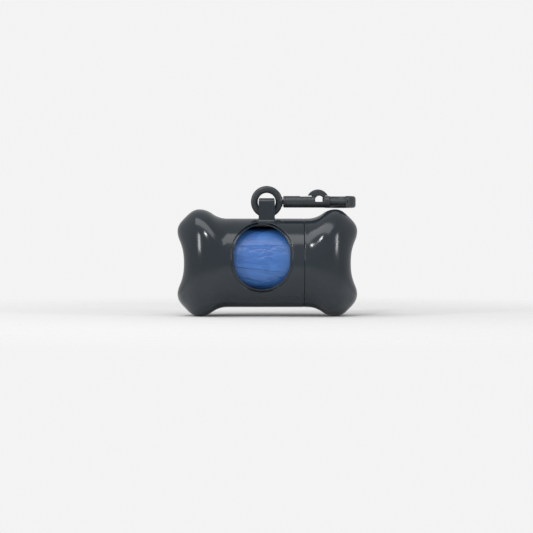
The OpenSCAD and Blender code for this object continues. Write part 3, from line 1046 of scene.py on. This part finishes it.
@dataclass(frozen=True)
class ClipPlace:
    """Where the clip's barrel lies, and the sizes that its pieces share, in millimetres."""

    x: float = -0.3
    z: float = 52.5
    barrel_r: float = 2.7
    barrel_x: float = 7.6
    mouth_x: float = 29.0
    bolt_r: float = 1.6
    thumb_t: float = 1.8
    foot_x: float = 20.75
    foot_end_x: float = 26.95

    def at(self, x: float, y: float, z: float) -> Vector:
        """Returns a point given from the clip's pivot, in metres."""
        return mm(self.x + x, y, self.z + z)

    def turned(self, name: str, path: Sequence[Pair], sides: int = 72) -> Piece:
        """Returns a shape turned about the barrel's axis, from places and radii along it."""
        return Bench.turned(name, [(self.x + x, r) for x, r in path], (0, self.z), sides)


@dataclass
class SwivelEye:
    """Ring that turns on the loop, with the shank that swivels in the barrel."""

    place: ClipPlace
    outer_r: float = 7.3
    inner_r: float = 4.1
    thickness: float = 3.4
    edge_r: float = 1.25
    shank_r: float = 1.1
    head_r: float = 1.65
    head_x: float = 10.4
    head_end_x: float = 11.4
    collar_x: float = 5.7
    collar_r: float = 2.3

    def build(self) -> Piece:
        """Builds the eye.

        Returns:
            The finished piece.
        """
        half = self.thickness / 2
        section = rounded_box((self.inner_r, -half), (self.outer_r, half), self.edge_r, steps=8)[1:]
        place = self.place
        ring = Bench.spin(
            "swivel_eye", [place.at(r, y, 0) for r, y in section], place.at(0, 0, 0), Vector((0, 1, 0)), 112
        )
        path = rounded_path([
            (self.collar_x, TIP_R, 0), (self.collar_x, half, 0), (self.outer_r, self.collar_r, 0.2),
            (self.outer_r, self.shank_r, 0.1), (self.head_x, self.shank_r, 0.1),
            (self.head_x, self.head_r, 0.15), (self.head_end_x, self.head_r, 0.3), (self.head_end_x, TIP_R, 0),
        ])
        Bench.cut(ring, place.turned("shank", path, 48), "UNION")
        Bench.smooth(ring, 40)
        return ring


@dataclass
class SwivelBush:
    """Bush pressed into the barrel's end, which keeps the shank in."""

    place: ClipPlace
    flange_t: float = 1.2
    sleeve_r: float = 1.85
    end_x: float = 10.1
    bore_r: float = 1.18

    def build(self) -> Piece:
        """Builds the bush.

        Returns:
            The finished piece.
        """
        place = self.place
        start = place.barrel_x
        shoulder = start + self.flange_t
        middle = (start + self.end_x) / 2
        path = rounded_path(
            [
                (middle, self.bore_r, 0), (start, self.bore_r, 0.2), (start, place.barrel_r, 0.45),
                (shoulder, place.barrel_r, 0.12), (shoulder, self.sleeve_r, 0.05),
                (self.end_x, self.sleeve_r, 0.15), (self.end_x, self.bore_r, 0.15), (middle, self.bore_r, 0),
            ],
            steps=4,
        )
        turns = whole_turn(72)
        rings = [[place.at(x, r * math.sin(turn), r * math.cos(turn)) for turn in turns] for x, r in path]
        return RollOfBags.ring_closed("swivel_bush", rings)


@dataclass
class BarrelAndHook:
    """Barrel with the hook at its end: one moulding."""

    place: ClipPlace
    hook_x: float = 33.5
    hook_y: float = 5.2
    hook_in_r: float = 4.3
    arm_w: float = 3.4
    edge_r: float = 1.2
    nose_x: float = 36.4
    mouth_y: float = 3.2
    start_x: float = 8.8
    chamber_x: float = 11.7
    spring_x: float = 12.5
    bush_r: float = 1.85
    bolt_gap: float = 0.15
    dip: float = 1.0
    slot_start_x: float = 15.3
    slot_gap: float = 0.25
    window_x: float = 24.2
    window_len: float = 4.4
    window_sill: float = 0.0
    spread_z: float = 0.01
    hook_edge: float = 0.55
    corner_r: float = 0.5
    window_corner_r: float = 0.6
    window_top: float = 8.0
    SIDES = 90
    HOOK_STEPS = 120
    BORE_SIDES = 64
    SLOT_LEVELS = ((0.0, 0.0), (2.3, 0.0), (2.5, 0.06), (2.72, 0.2), (6.0, 0.2))
    WINDOW_LEVELS = ((-6.0, 0.35), (-2.75, 0.3), (-2.45, 0.0), (2.45, 0.0), (2.75, 0.3), (6.0, 0.35))

    def build(self) -> Piece:
        """Builds the barrel and the hook.

        Returns:
            The finished piece.
        """
        place = self.place
        path = rounded_path([
            (self.start_x, WIDE_TIP_R, 0), (self.start_x, place.barrel_r, 0.12),
            (place.mouth_x, place.barrel_r, 0.35), (place.mouth_x, WIDE_TIP_R, 0),
        ])
        barrel = place.turned("barrel", fine_path(path, 1.0), self.SIDES)
        hook = self.hook()
        for tool in (self.slot, self.window, self.bolt_bore):
            Bench.cut(barrel, tool())
            Bench.cut(hook, tool())
        Bench.cut(barrel, self.bush_bore())
        barrel = Bench.join("barrel_and_hook", [barrel, hook])
        Bench.smooth(barrel, 36)
        Bench.apply(barrel, "WEIGHTED_NORMAL", keep_sharp=True, weight=60)
        return barrel

    def hook(self) -> Piece:
        """Returns the hook, open between the barrel's mouth and its nose."""
        place = self.place
        half = place.barrel_r + self.spread_z
        outer = self.hook_in_r + self.arm_w
        section = rounded_box((self.hook_in_r, -half), (outer, half), self.edge_r, steps=7)
        hook = Bench.spin(
            "hook", [place.at(self.hook_x + r, self.hook_y, z) for r, z in section],
            place.at(self.hook_x, self.hook_y, 0), Vector((0, 0, 1)), self.HOOK_STEPS,
        )
        far = 30
        Bench.cut(hook, Bench.block("front", place.at(0, -far, -far), place.at(2 * far, -half, far)))
        low = place.at(place.mouth_x, -far, -far)
        Bench.cut(hook, Bench.block("mouth", low, place.at(self.nose_x, self.mouth_y, far)))
        Bench.soften(hook, self.hook_edge, segments=4, angle=55)
        return hook

    def bush_bore(self) -> Piece:
        """Returns the bore for the bush and the shank's head."""
        path = rod_path(self.start_x - 0.5, self.chamber_x, self.bush_r)
        return self.place.turned("bush_bore", path, self.BORE_SIDES)

    def bolt_bore(self) -> Piece:
        """Returns the bore of the bolt and spring, through the mouth and into the nose."""
        place = self.place
        radius = place.bolt_r + self.bolt_gap
        mouth, nose = place.mouth_x, self.nose_x
        path = [
            (self.spring_x, TIP_R), (self.spring_x, radius), (mouth - 0.3, radius),
            (mouth + 0.02, radius + 0.3), (mouth + 0.5, radius + 0.3), (mouth + 0.6, radius),
            (nose - 0.5, radius), (nose - 0.4, radius + 0.25), (nose, radius + 0.25),
            (nose + 0.2, radius), (nose + self.dip, radius), (nose + self.dip, TIP_R),
        ]
        return place.turned("bolt_bore", path, self.BORE_SIDES)

    def slot(self) -> Piece:
        """Returns the slot in the top of the barrel, with a chamfer round it."""
        place = self.place
        half = place.thumb_t / 2 + self.slot_gap
        low = self.slot_start_x
        high = place.foot_end_x + self.slot_gap
        rings = []
        for z, grow in self.SLOT_LEVELS:
            wide = half + grow
            outline = rounded_box((low - grow, -wide), (high + grow, wide), self.corner_r, steps=6)
            rings.append([place.at(x, y, z) for x, y in outline])
        return Bench.loft("slot", rings)

    def window(self) -> Piece:
        """Returns the window through both sides of the barrel, with rounded corners."""
        place = self.place
        low = self.window_x - self.window_len / 2
        high = self.window_x + self.window_len / 2
        rings = []
        for y, grow in self.WINDOW_LEVELS:
            sill, left, right = self.window_sill - grow, low - grow, high + grow
            outline = rounded_path(
                [
                    (left, self.window_top, 0), (left, sill, self.window_corner_r),
                    (right, sill, self.window_corner_r), (right, self.window_top, 0),
                ],
                steps=6,
            )
            rings.append([place.at(x, y, z) for x, z in outline])
        return Bench.loft("window", rings)


@dataclass
class SlidingBolt:
    """Bolt that shuts the hook, with the flat that carries the thumb ring."""

    place: ClipPlace
    tail_x: float = 20.15
    end_x: float = 37.25
    end_round: float = 0.5
    flat: float = -0.6
    ease: float = 0.005

    def build(self) -> Piece:
        """Builds the bolt.

        Returns:
            The finished piece.
        """
        place = self.place
        radius = place.bolt_r - self.ease
        path = rounded_path([
            (self.tail_x, TIP_R, 0), (self.tail_x, radius, 0.15), (self.end_x, radius, self.end_round),
            (self.end_x, TIP_R, 0),
        ])
        bolt = place.turned("sliding_bolt", fine_path(path, 1.2), 72)
        notch = Bench.block("notch", place.at(place.foot_x, -4, self.flat), place.at(place.foot_end_x, 4, 6))
        Bench.cut(bolt, notch)
        Bench.smooth(bolt, 36)
        return bolt


@dataclass
class ThumbRing:
    """Small ring by which the bolt is drawn back."""

    place: ClipPlace
    x: float = 23.5
    up: float = 0.5
    radius: float = 5.2
    hole_x: float = 24.2
    hole_up: float = 0.9
    hole_r: float = 1.9
    shoulder_z: float = 2.85
    sole_z: float = 0.0
    flat: float = -0.6
    edge: float = 0.5
    foot_r: float = 0.3
    ease: float = 0.02
    EDGE_STEPS = 5
    EYELET_SIDES = 64

    def outline(self, inset: float) -> list[Pair]:
        """Returns the ring's outline, seen from the front, set in by an amount."""
        place = self.place
        radius = self.radius - inset
        base = self.shoulder_z + inset
        reach = math.acos((base - self.up) / radius) - self.ease
        crown = arc((self.x, self.up), radius, math.pi / 2 - reach, math.pi / 2 + reach, 72)
        low = place.foot_x + inset * 0.3
        high = place.foot_end_x - inset * 0.3
        bend = self.foot_r + inset / 2
        flat = self.flat + inset * 0.2
        corners = rounded_path([
            (*crown[-1], 0), (crown[-1][0] - self.ease, base, 0), (low, base, bend), (low, flat, 0.2),
            (high, flat, 0.2), (high, base, bend), (crown[0][0] + self.ease, base, 0),
        ])
        return [*crown, *corners[1:]]

    def build(self) -> Piece:
        """Builds the thumb ring with rounded edges and its hole.

        Returns:
            The finished piece.
        """
        place = self.place
        half = place.thumb_t / 2 - self.ease
        rounding = [
            (-half + self.edge * (1 - math.sin(turn)), self.edge * (1 - math.cos(turn)))
            for turn in spread(0.0, math.pi / 2, self.EDGE_STEPS)
        ]
        sections = [*reversed(rounding), *((-y, inset) for y, inset in rounding)]
        rings = [[place.at(x, y, z) for x, z in self.outline(inset)] for y, inset in sections]
        thumb = Bench.loft("thumb_lever", rings)
        Bench.cut(thumb, self.eyelet())
        Bench.smooth(thumb, 36)
        Bench.apply(thumb, "WEIGHTED_NORMAL", keep_sharp=True, weight=60)
        return thumb

    def eyelet(self) -> Piece:
        """Returns the cutter of the hole, flared at both faces and flat at the sole."""
        place = self.place
        half = place.thumb_t / 2
        flare = ((-2.0, 0.5), (-half, 0.4), (-half + 0.12, 0.2), (-half + 0.4, 0.0))
        rings = []
        for y, grow in (*flare, *((-y, grow) for y, grow in reversed(flare))):
            radius = self.hole_r + grow
            ring = []
            for turn in whole_turn(self.EYELET_SIDES):
                z = max(self.hole_up + radius * math.sin(turn), self.sole_z - grow * 0.5)
                ring.append(place.at(self.hole_x + radius * math.cos(turn), y, z))
            rings.append(ring)
        return Bench.loft("eyelet", rings)


@dataclass
class BoltSpring:
    """Coil spring behind the bolt, with closer turns at both ends."""

    place: ClipPlace
    start_x: float = 12.5
    length: float = 7.65
    wire: float = 0.45
    turns: float = 5.0
    closeness: float = 0.045
    step: int = 40
    sides: int = 12

    def build(self) -> Piece:
        """Builds the spring.

        Returns:
            The finished piece.
        """
        place = self.place
        radius = place.bolt_r - self.wire / 2 - 0.01
        run = self.length - self.wire
        count = int(self.turns * self.step)
        centres = []
        for i in range(count + 1):
            turn = 2 * math.pi * i / self.step
            share = i / count
            eased = share - self.closeness * math.sin(2 * math.pi * share)
            x = self.start_x + self.wire / 2 + run * eased
            centres.append(place.at(x, radius * math.cos(turn), radius * math.sin(turn)))
        rings = []
        for i, centre in enumerate(centres):
            ahead = (centres[min(i + 1, count)] - centres[max(i - 1, 0)]).normalized()
            turn = 2 * math.pi * i / self.step
            out = Vector((0, math.cos(turn), math.sin(turn)))
            out = (out - ahead * out.dot(ahead)).normalized()
            across = ahead.cross(out)
            half = self.wire / 2 * MM
            rings.append([
                centre + (out * math.cos(side) + across * math.sin(side)) * half
                for side in whole_turn(self.sides)
            ])
        spring = Bench.loft("spring_coil", rings)
        Bench.smooth(spring, 50)
        return spring


class Wire:
    """An output of a shader node, with arithmetic that adds the nodes for it."""

    def __init__(self, paint: "Paint", socket: bpy.types.NodeSocket) -> None:
        """Wraps a socket.

        Args:
            paint: Paint whose tree the socket is in.
            socket: The output.
        """
        self.paint = paint
        self.socket = socket

    def maths(self, operation: str, *values: "Wire | float") -> "Wire":
        """Returns the result of a Math node on these values."""
        return self.paint.node("ShaderNodeMath", {"operation": operation}, dict(enumerate(values)))

    def __add__(self, other: "Wire | float") -> "Wire":
        """Returns the sum."""
        return self.maths("ADD", self, other)

    def __radd__(self, other: float) -> "Wire":
        """Returns the sum."""
        return self.maths("ADD", other, self)

    def __sub__(self, other: "Wire | float") -> "Wire":
        """Returns the difference."""
        return self.maths("SUBTRACT", self, other)

    def __rsub__(self, other: float) -> "Wire":
        """Returns the difference."""
        return self.maths("SUBTRACT", other, self)

    def __mul__(self, other: "Wire | float") -> "Wire":
        """Returns the product."""
        return self.maths("MULTIPLY", self, other)

    def __rmul__(self, other: float) -> "Wire":
        """Returns the product."""
        return self.maths("MULTIPLY", other, self)

    def __abs__(self) -> "Wire":
        """Returns the absolute value."""
        return self.maths("ABSOLUTE", self)

    def step(self, low: float, high: float) -> "Wire":
        """Returns how far the value lies from low to high, eased, from 0 to 1."""
        return self.paint.node(
            "ShaderNodeMapRange", {"interpolation_type": "SMOOTHSTEP"},
            {"Value": self, "From Min": low, "From Max": high},
        )

    def choose(self, low: Colour, high: Colour) -> "Wire":
        """Returns a colour between two, by this value from 0 to 1."""
        return self.paint.node(
            "ShaderNodeMix", {"data_type": "RGBA"}, {0: self, 6: (*low, 1.0), 7: (*high, 1.0)}, 2
        )


class Paint:
    """A material whose nodes are added in code."""

    def __init__(self, name: str, colour: Colour, roughness: float, metallic: float = 0.0) -> None:
        """Makes the material.

        Args:
            name: Name of the material.
            colour: Base colour, linear.
            roughness: Base roughness.
            metallic: 1 for metal.
        """
        self.material = bpy.data.materials.new(name)
        self.material.use_nodes = True
        self.tree = self.material.node_tree
        self.shader = next(node for node in self.tree.nodes if node.type == "BSDF_PRINCIPLED")
        self.set("Base Color", (*colour, 1.0))
        self.set("Roughness", roughness)
        self.set("Metallic", metallic)

    def node(self, kind: str, settings: dict[str, object], inputs: dict, output: int = 0) -> Wire:
        """Adds a node.

        Args:
            kind: Type of the node.
            settings: Its settings, set first.
            inputs: Values or wires of its sockets, by name or number.
            output: Number of the output that is returned.

        Returns:
            The wire of that output.
        """
        node = self.tree.nodes.new(kind)
        for key, value in settings.items():
            setattr(node, key, value)
        for key, value in inputs.items():
            if isinstance(value, Wire):
                self.tree.links.new(value.socket, node.inputs[key])
            else:
                node.inputs[key].default_value = value
        return Wire(self, node.outputs[output])

    def set(self, name: str, value: "Wire | float | tuple") -> None:
        """Sets or links a socket of the shader."""
        if isinstance(value, Wire):
            self.tree.links.new(value.socket, self.shader.inputs[name])
        else:
            self.shader.inputs[name].default_value = value

    def place(self, scale: Colour = (1.0, 1.0, 1.0), turn: Colour = (0.0, 0.0, 0.0)) -> Wire:
        """Returns the place on the piece, stretched and turned."""
        spot = self.node("ShaderNodeTexCoord", {}, {}, 3)
        return self.node("ShaderNodeMapping", {}, {"Vector": spot, "Scale": scale, "Rotation": turn})

    def reach(self) -> Wire:
        """Returns the distance from the object's origin."""
        return self.node("ShaderNodeVectorMath", {"operation": "LENGTH"}, {0: self.place()}, 1)

    def noise(
        self, scale: float, detail: float = 2.0, place: Optional[Wire] = None, twist: float = 0.0
    ) -> Wire:
        """Returns a noise from 0 to 1.

        Args:
            scale: Number of its waves in a metre.
            detail: How many finer layers it has.
            place: Place to read it at.
            twist: How much it is distorted.

        Returns:
            The value.
        """
        spot = place or self.place()
        return self.node(
            "ShaderNodeTexNoise", {}, {"Vector": spot, "Scale": scale, "Detail": detail, "Distortion": twist}
        )

    def relief(self, *layers: tuple[Wire, float]) -> None:
        """Adds bumps to the surface.

        Args:
            *layers: Heights from 0 to 1, each with its real height in millimetres.
        """
        normal = None
        for height, tall in layers:
            inputs = {"Height": height, "Strength": 1.0, "Distance": tall * MM}
            if normal:
                inputs["Normal"] = normal
            normal = self.node("ShaderNodeBump", {}, inputs)
        self.set("Normal", normal)


@dataclass(frozen=True)
class GlossPlastic:
    """Glossy moulded plastic of the case, with faint flow, dust and fine scratches."""

    name: str = "gloss_plastic"
    deep: Colour = (0.0140, 0.0205, 0.0275)
    pale: Colour = (0.0210, 0.0300, 0.0390)
    roughness: float = 0.15
    spread: float = 0.10

    def make(self) -> bpy.types.Material:
        """Makes the material."""
        paint = Paint(self.name, self.deep, self.roughness)
        flow = paint.noise(38, 3, paint.place((0.5, 1.0, 1.0)), 0.6).step(0.35, 0.7)
        haze = paint.noise(120, 5).step(0.45, 0.8)
        long_hairs = self.scratches(paint, (22.0, 900.0, 900.0), (0.2, 0.5, 0.1))
        round_hairs = self.scratches(paint, (900.0, 900.0, 30.0), (0.4, 0.1, 0.6))
        dust = paint.noise(2600, 1).step(0.72, 0.80) * haze
        paint.set("Base Color", (flow * 0.8 + dust * 0.5).choose(self.deep, self.pale))
        rough = self.roughness + self.spread * haze + 0.12 * long_hairs + 0.12 * round_hairs + 0.2 * dust
        paint.set("Roughness", rough)
        sink = paint.noise(55, 2)
        grain = paint.noise(1500, 2)
        paint.relief((sink, 0.03), (grain, 0.0016), (long_hairs + round_hairs, -0.0012))
        paint.set("IOR", 1.5)
        return paint.material

    @staticmethod
    def scratches(paint: Paint, scale: Colour, turn: Colour) -> Wire:
        """Returns thin broken lines along one direction, from 0 to 1."""
        fine = paint.noise(1.0, 1, paint.place(scale, turn))
        where = paint.noise(60, 2).step(0.52, 0.68)
        return fine.step(0.70, 0.76) * where


@dataclass(frozen=True)
class SatinPlastic:
    """Satin moulded plastic of the clip and of the spindle."""

    name: str
    deep: Colour
    pale: Colour
    roughness: float = 0.36
    grain_mm: float = 0.006

    def make(self) -> bpy.types.Material:
        """Makes the material."""
        paint = Paint(self.name, self.deep, self.roughness)
        flow = paint.noise(90, 3, None, 0.8)
        rub = paint.noise(420, 4).step(0.5, 0.75)
        grain = paint.noise(2400, 2)
        paint.set("Base Color", (flow.step(0.3, 0.75) * 0.7 + rub * 0.3).choose(self.deep, self.pale))
        paint.set("Roughness", self.roughness + 0.12 * flow - 0.10 * rub)
        paint.relief((flow, 0.02), (grain, self.grain_mm))
        return paint.material


@dataclass(frozen=True)
class BagFilm:
    """Thin blue film, creased across the roll, with soft highlights; its fold lines carry painted shade and
    its tucks a painted highlight.
    """

    name: str = "bag_film"
    deep: Colour = (0.036, 0.120, 0.385)
    mid: Colour = (0.062, 0.200, 0.530)
    roughness: float = 0.34

    def make(self) -> bpy.types.Material:
        """Makes the material."""
        paint = Paint(self.name, self.mid, self.roughness)
        long = paint.place((0.35, 1.0, 1.0), (0.0, 0.05, 0.0))
        # Fold lines across the film: a bump, and painted shade that darkens the film's colour along them.
        folds_and_painted_shade = 1 - abs(paint.noise(130, 3, long, 0.5) * 2 - 1)
        folds_and_painted_shade = folds_and_painted_shade.step(0.86, 1.0)
        steep = paint.place((1.0, 0.6, 0.45), (0.3, 0.5, 0.2))
        # Tucks: a bump, lower roughness, and a painted highlight that lightens the film's colour on them.
        tucks_and_painted_highlight = (1 - abs(paint.noise(210, 2, steep, 0.9) * 2 - 1)).step(0.88, 1.0)
        tucks_and_painted_highlight = tucks_and_painted_highlight * paint.noise(70, 1).step(0.5, 0.62)
        cloud = paint.noise(45, 3)
        # Colour: a random cloudy tone, darkened by painted shade along the folds and lightened by a painted
        # highlight on the tucks.
        tone_and_painted_light = (cloud.step(0.25, 0.75) * 0.75 + 0.25 - folds_and_painted_shade * 0.35 + tucks_and_painted_highlight * 0.1)
        paint.set("Base Color", tone_and_painted_light.choose(self.deep, self.mid))
        paint.set("Roughness", self.roughness + 0.14 * cloud - 0.1 * tucks_and_painted_highlight)
        soft = paint.noise(160, 4, long)
        grain = paint.noise(3800, 1)
        paint.relief((soft, 0.16), (folds_and_painted_shade, -0.06), (tucks_and_painted_highlight, 0.05), (grain, 0.002))
        paint.set("Coat Weight", 0.25)
        paint.set("Coat Roughness", 0.22)
        return paint.material


@dataclass(frozen=True)
class CoreTube:
    """Pale tube in the middle of the roll, with the seam of its winding."""

    name: str = "core_board"
    deep: Colour = (0.42, 0.35, 0.25)
    pale: Colour = (0.62, 0.56, 0.45)

    def make(self) -> bpy.types.Material:
        """Makes the material."""
        paint = Paint(self.name, self.pale, 0.8)
        fibres = paint.noise(1.0, 4, paint.place((350.0, 1500.0, 1500.0), (0.0, 0.0, 0.5)))
        speck = paint.noise(2200, 2).step(0.6, 0.75)
        paint.set("Base Color", (fibres.step(0.25, 0.8) - speck * 0.3).choose(self.deep, self.pale))
        paint.set("Roughness", 0.72 + 0.2 * fibres)
        paint.relief((fibres, 0.02), (speck, 0.01))
        return paint.material


@dataclass(frozen=True)
class SpringSteel:
    """Drawn steel wire."""

    name: str = "spring_steel"
    deep: Colour = (0.36, 0.36, 0.37)
    pale: Colour = (0.62, 0.62, 0.63)

    def make(self) -> bpy.types.Material:
        """Makes the material."""
        paint = Paint(self.name, self.pale, 0.3, 1.0)
        drawn = paint.noise(2500, 3)
        stain = paint.noise(700, 2).step(0.45, 0.8)
        paint.set("Base Color", (1 - stain).choose(self.deep, self.pale))
        paint.set("Roughness", 0.24 + 0.2 * drawn + 0.1 * stain)
        paint.relief((drawn, 0.004))
        return paint.material


FINISHES = {
    Slot.CASE: GlossPlastic(),
    Slot.CLIP: SatinPlastic("satin_plastic", (0.026, 0.032, 0.038), (0.042, 0.050, 0.058), 0.33),
    Slot.BOLT: SatinPlastic("bolt_plastic", (0.030, 0.036, 0.042), (0.048, 0.056, 0.063), 0.38),
    Slot.SPRING: SpringSteel(),
    Slot.SPINDLE: SatinPlastic("spindle_plastic", (0.032, 0.038, 0.044), (0.052, 0.060, 0.067), 0.42, 0.01),
    Slot.CORE: CoreTube(),
    Slot.FILM: BagFilm(),
}


@dataclass
class Studio:
    """Camera, lamps, floor and backdrop."""

    photo_width: float = 0.2457
    distance: float = 0.85
    elevation: float = 1.0
    aim: Colour = (-0.0004, 0.0, 0.0227)
    sensor: float = 36.0
    sky: float = 0.50
    backdrop: float = 0.90
    floor_r: float = 2.4
    floor_grey: float = 0.82
    fade_start: float = 0.05
    fade_end: float = 0.28

    def camera(self) -> None:
        """Places the camera as the photograph has it, nearly level with the object."""
        Bench.clear()
        lift = math.radians(self.elevation)
        aim = Vector(self.aim)
        bpy.ops.object.camera_add(location=aim + Vector((0, -math.cos(lift), math.sin(lift))) * self.distance)
        camera = bpy.context.object
        camera.rotation_euler = (math.pi / 2 - lift, 0, 0)
        camera.data.sensor_width = self.sensor
        camera.data.lens = self.sensor * self.distance / self.photo_width
        camera.data.clip_start = 0.01
        camera.data.clip_end = 20
        bpy.context.scene.camera = camera

    def lamp(self, name: str, place: Colour, aim: Colour, size: Pair, power: float) -> None:
        """Adds a soft rectangular lamp.

        Args:
            name: Name of the lamp.
            place: Where it hangs.
            aim: What it points at.
            size: Its width and height.
            power: Its power in watts.
        """
        Bench.clear()
        bpy.ops.object.light_add(type="AREA", location=place)
        lamp = bpy.context.object
        lamp.name = name
        lamp.data.shape = "RECTANGLE"
        lamp.data.size, lamp.data.size_y = size
        lamp.data.energy = power
        lamp.rotation_euler = (Vector(aim) - Vector(place)).to_track_quat("-Z", "Y").to_euler()

    def floor(self) -> None:
        """Adds the pale floor, which fades into the plain background all round."""
        Bench.clear()
        bpy.ops.mesh.primitive_circle_add(
            vertices=96, radius=self.floor_r, fill_type="NGON", location=(0, 0, -0.00005)
        )
        floor = bpy.context.object
        floor.name = "floor_disc"
        bpy.ops.object.transform_apply()
        paint = Paint("pale_floor", (self.floor_grey,) * 3, 0.9)
        grey = paint.noise(3, 2)
        pale = self.floor_grey
        paint.set("Base Color", grey.choose((pale - 0.01,) * 3, (pale + 0.01,) * 3))
        paint.set("Alpha", 1 - paint.reach().step(self.fade_start, self.fade_end))
        paint.set("Specular IOR Level", 0.1)
        floor.data.materials.clear()
        floor.data.materials.append(paint.material)

    def world(self) -> None:
        """Lights the scene evenly from all round, in front of a pale background."""
        world = bpy.data.worlds.new("studio")
        bpy.context.scene.world = world
        world.use_nodes = True
        nodes, links = world.node_tree.nodes, world.node_tree.links
        around = nodes["Background"]
        around.inputs["Color"].default_value = (1.0, 1.0, 1.0, 1.0)
        around.inputs["Strength"].default_value = self.sky
        behind = nodes.new("ShaderNodeBackground")
        behind.inputs["Color"].default_value = (1.0, 1.0, 1.0, 1.0)
        behind.inputs["Strength"].default_value = self.backdrop
        path = nodes.new("ShaderNodeLightPath")
        mix = nodes.new("ShaderNodeMixShader")
        links.new(path.outputs["Is Camera Ray"], mix.inputs["Fac"])
        links.new(around.outputs["Background"], mix.inputs[1])
        links.new(behind.outputs["Background"], mix.inputs[2])
        links.new(mix.outputs["Shader"], nodes["World Output"].inputs["Surface"])

    def build(self) -> None:
        """Sets up the whole studio."""
        self.camera()
        self.world()
        self.floor()
        middle = (0.0, 0.0, 0.03)
        self.lamp("top_box", (-0.15, -0.25, 0.75), middle, (1.1, 0.35), 2.9)
        self.lamp("left_box", (-0.75, -0.55, 0.35), middle, (0.16, 0.40), 2.2)
        self.lamp("right_box", (0.8, -0.45, 0.3), middle, (0.14, 0.35), 1.7)
        self.lamp("key_box", (-0.22, -0.60, 0.62), middle, (0.12, 0.09), 1.2)
        bpy.context.scene.view_settings.view_transform = "Standard"


class Dispenser:
    """The whole object: builds its pieces and hangs them on the frame's bodies."""

    def __init__(self) -> None:
        """Makes the finishes."""
        self.materials = {slot: finish.make() for slot, finish in FINISHES.items()}

    def fit(self, piece: Piece, slot: Slot, body: Body, node: str) -> Piece:
        """Dresses a piece, hangs it on its body and puts it in the place of a node.

        Args:
            piece: The finished piece.
            slot: Material slot of its finish.
            body: Body that it rides on.
            node: Name of the node that it stands for.

        Returns:
            The piece.
        """
        piece.data.materials.clear()
        piece.data.materials.append(self.materials[slot])
        for polygon in piece.data.polygons:
            polygon.material_index = 0
        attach(piece, body.value)
        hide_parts(node)
        LOG.info("%s: %d faces for %s", piece.name, len(piece.data.polygons), node)
        return piece

    def build(self) -> None:
        """Builds every piece in order."""
        sizes = CaseSizes()
        place = ClipPlace()
        roll = RollOfBags()
        self.fit(CaseBody(sizes).build(), Slot.CASE, Body.CASE, "body_shell")
        self.fit(CaseCap(sizes).build(), Slot.CASE, Body.CAP, "cap_shell")
        self.fit(roll.film(), Slot.FILM, Body.ROLL, "bag_roll")
        self.fit(roll.tail(), Slot.FILM, Body.ROLL, "bag_tail")
        self.fit(roll.core(), Slot.CORE, Body.ROLL, "roll_core")
        self.fit(Spindle().build(), Slot.SPINDLE, Body.SPINDLE, "roll_spindle")
        self.fit(SwivelEye(place).build(), Slot.CLIP, Body.EYE, "clip_eye")
        self.fit(SwivelBush(place).build(), Slot.CLIP, Body.HOOK, "hook_bush")
        self.fit(BarrelAndHook(place).build(), Slot.CLIP, Body.HOOK, "clip_hook")
        self.fit(SlidingBolt(place).build(), Slot.BOLT, Body.BOLT, "clip_bolt")
        self.fit(ThumbRing(place).build(), Slot.CLIP, Body.BOLT, "thumb_ring")
        spring = self.fit(BoltSpring(place).build(), Slot.SPRING, Body.HOOK, "bolt_spring")
        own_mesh(spring)


def main() -> None:
    """Builds the object and its studio."""
    logging.basicConfig(level=logging.INFO, format="%(name)s: %(message)s")
    Dispenser().build()
    Studio().build()


if __name__ == "__main__":
    main()
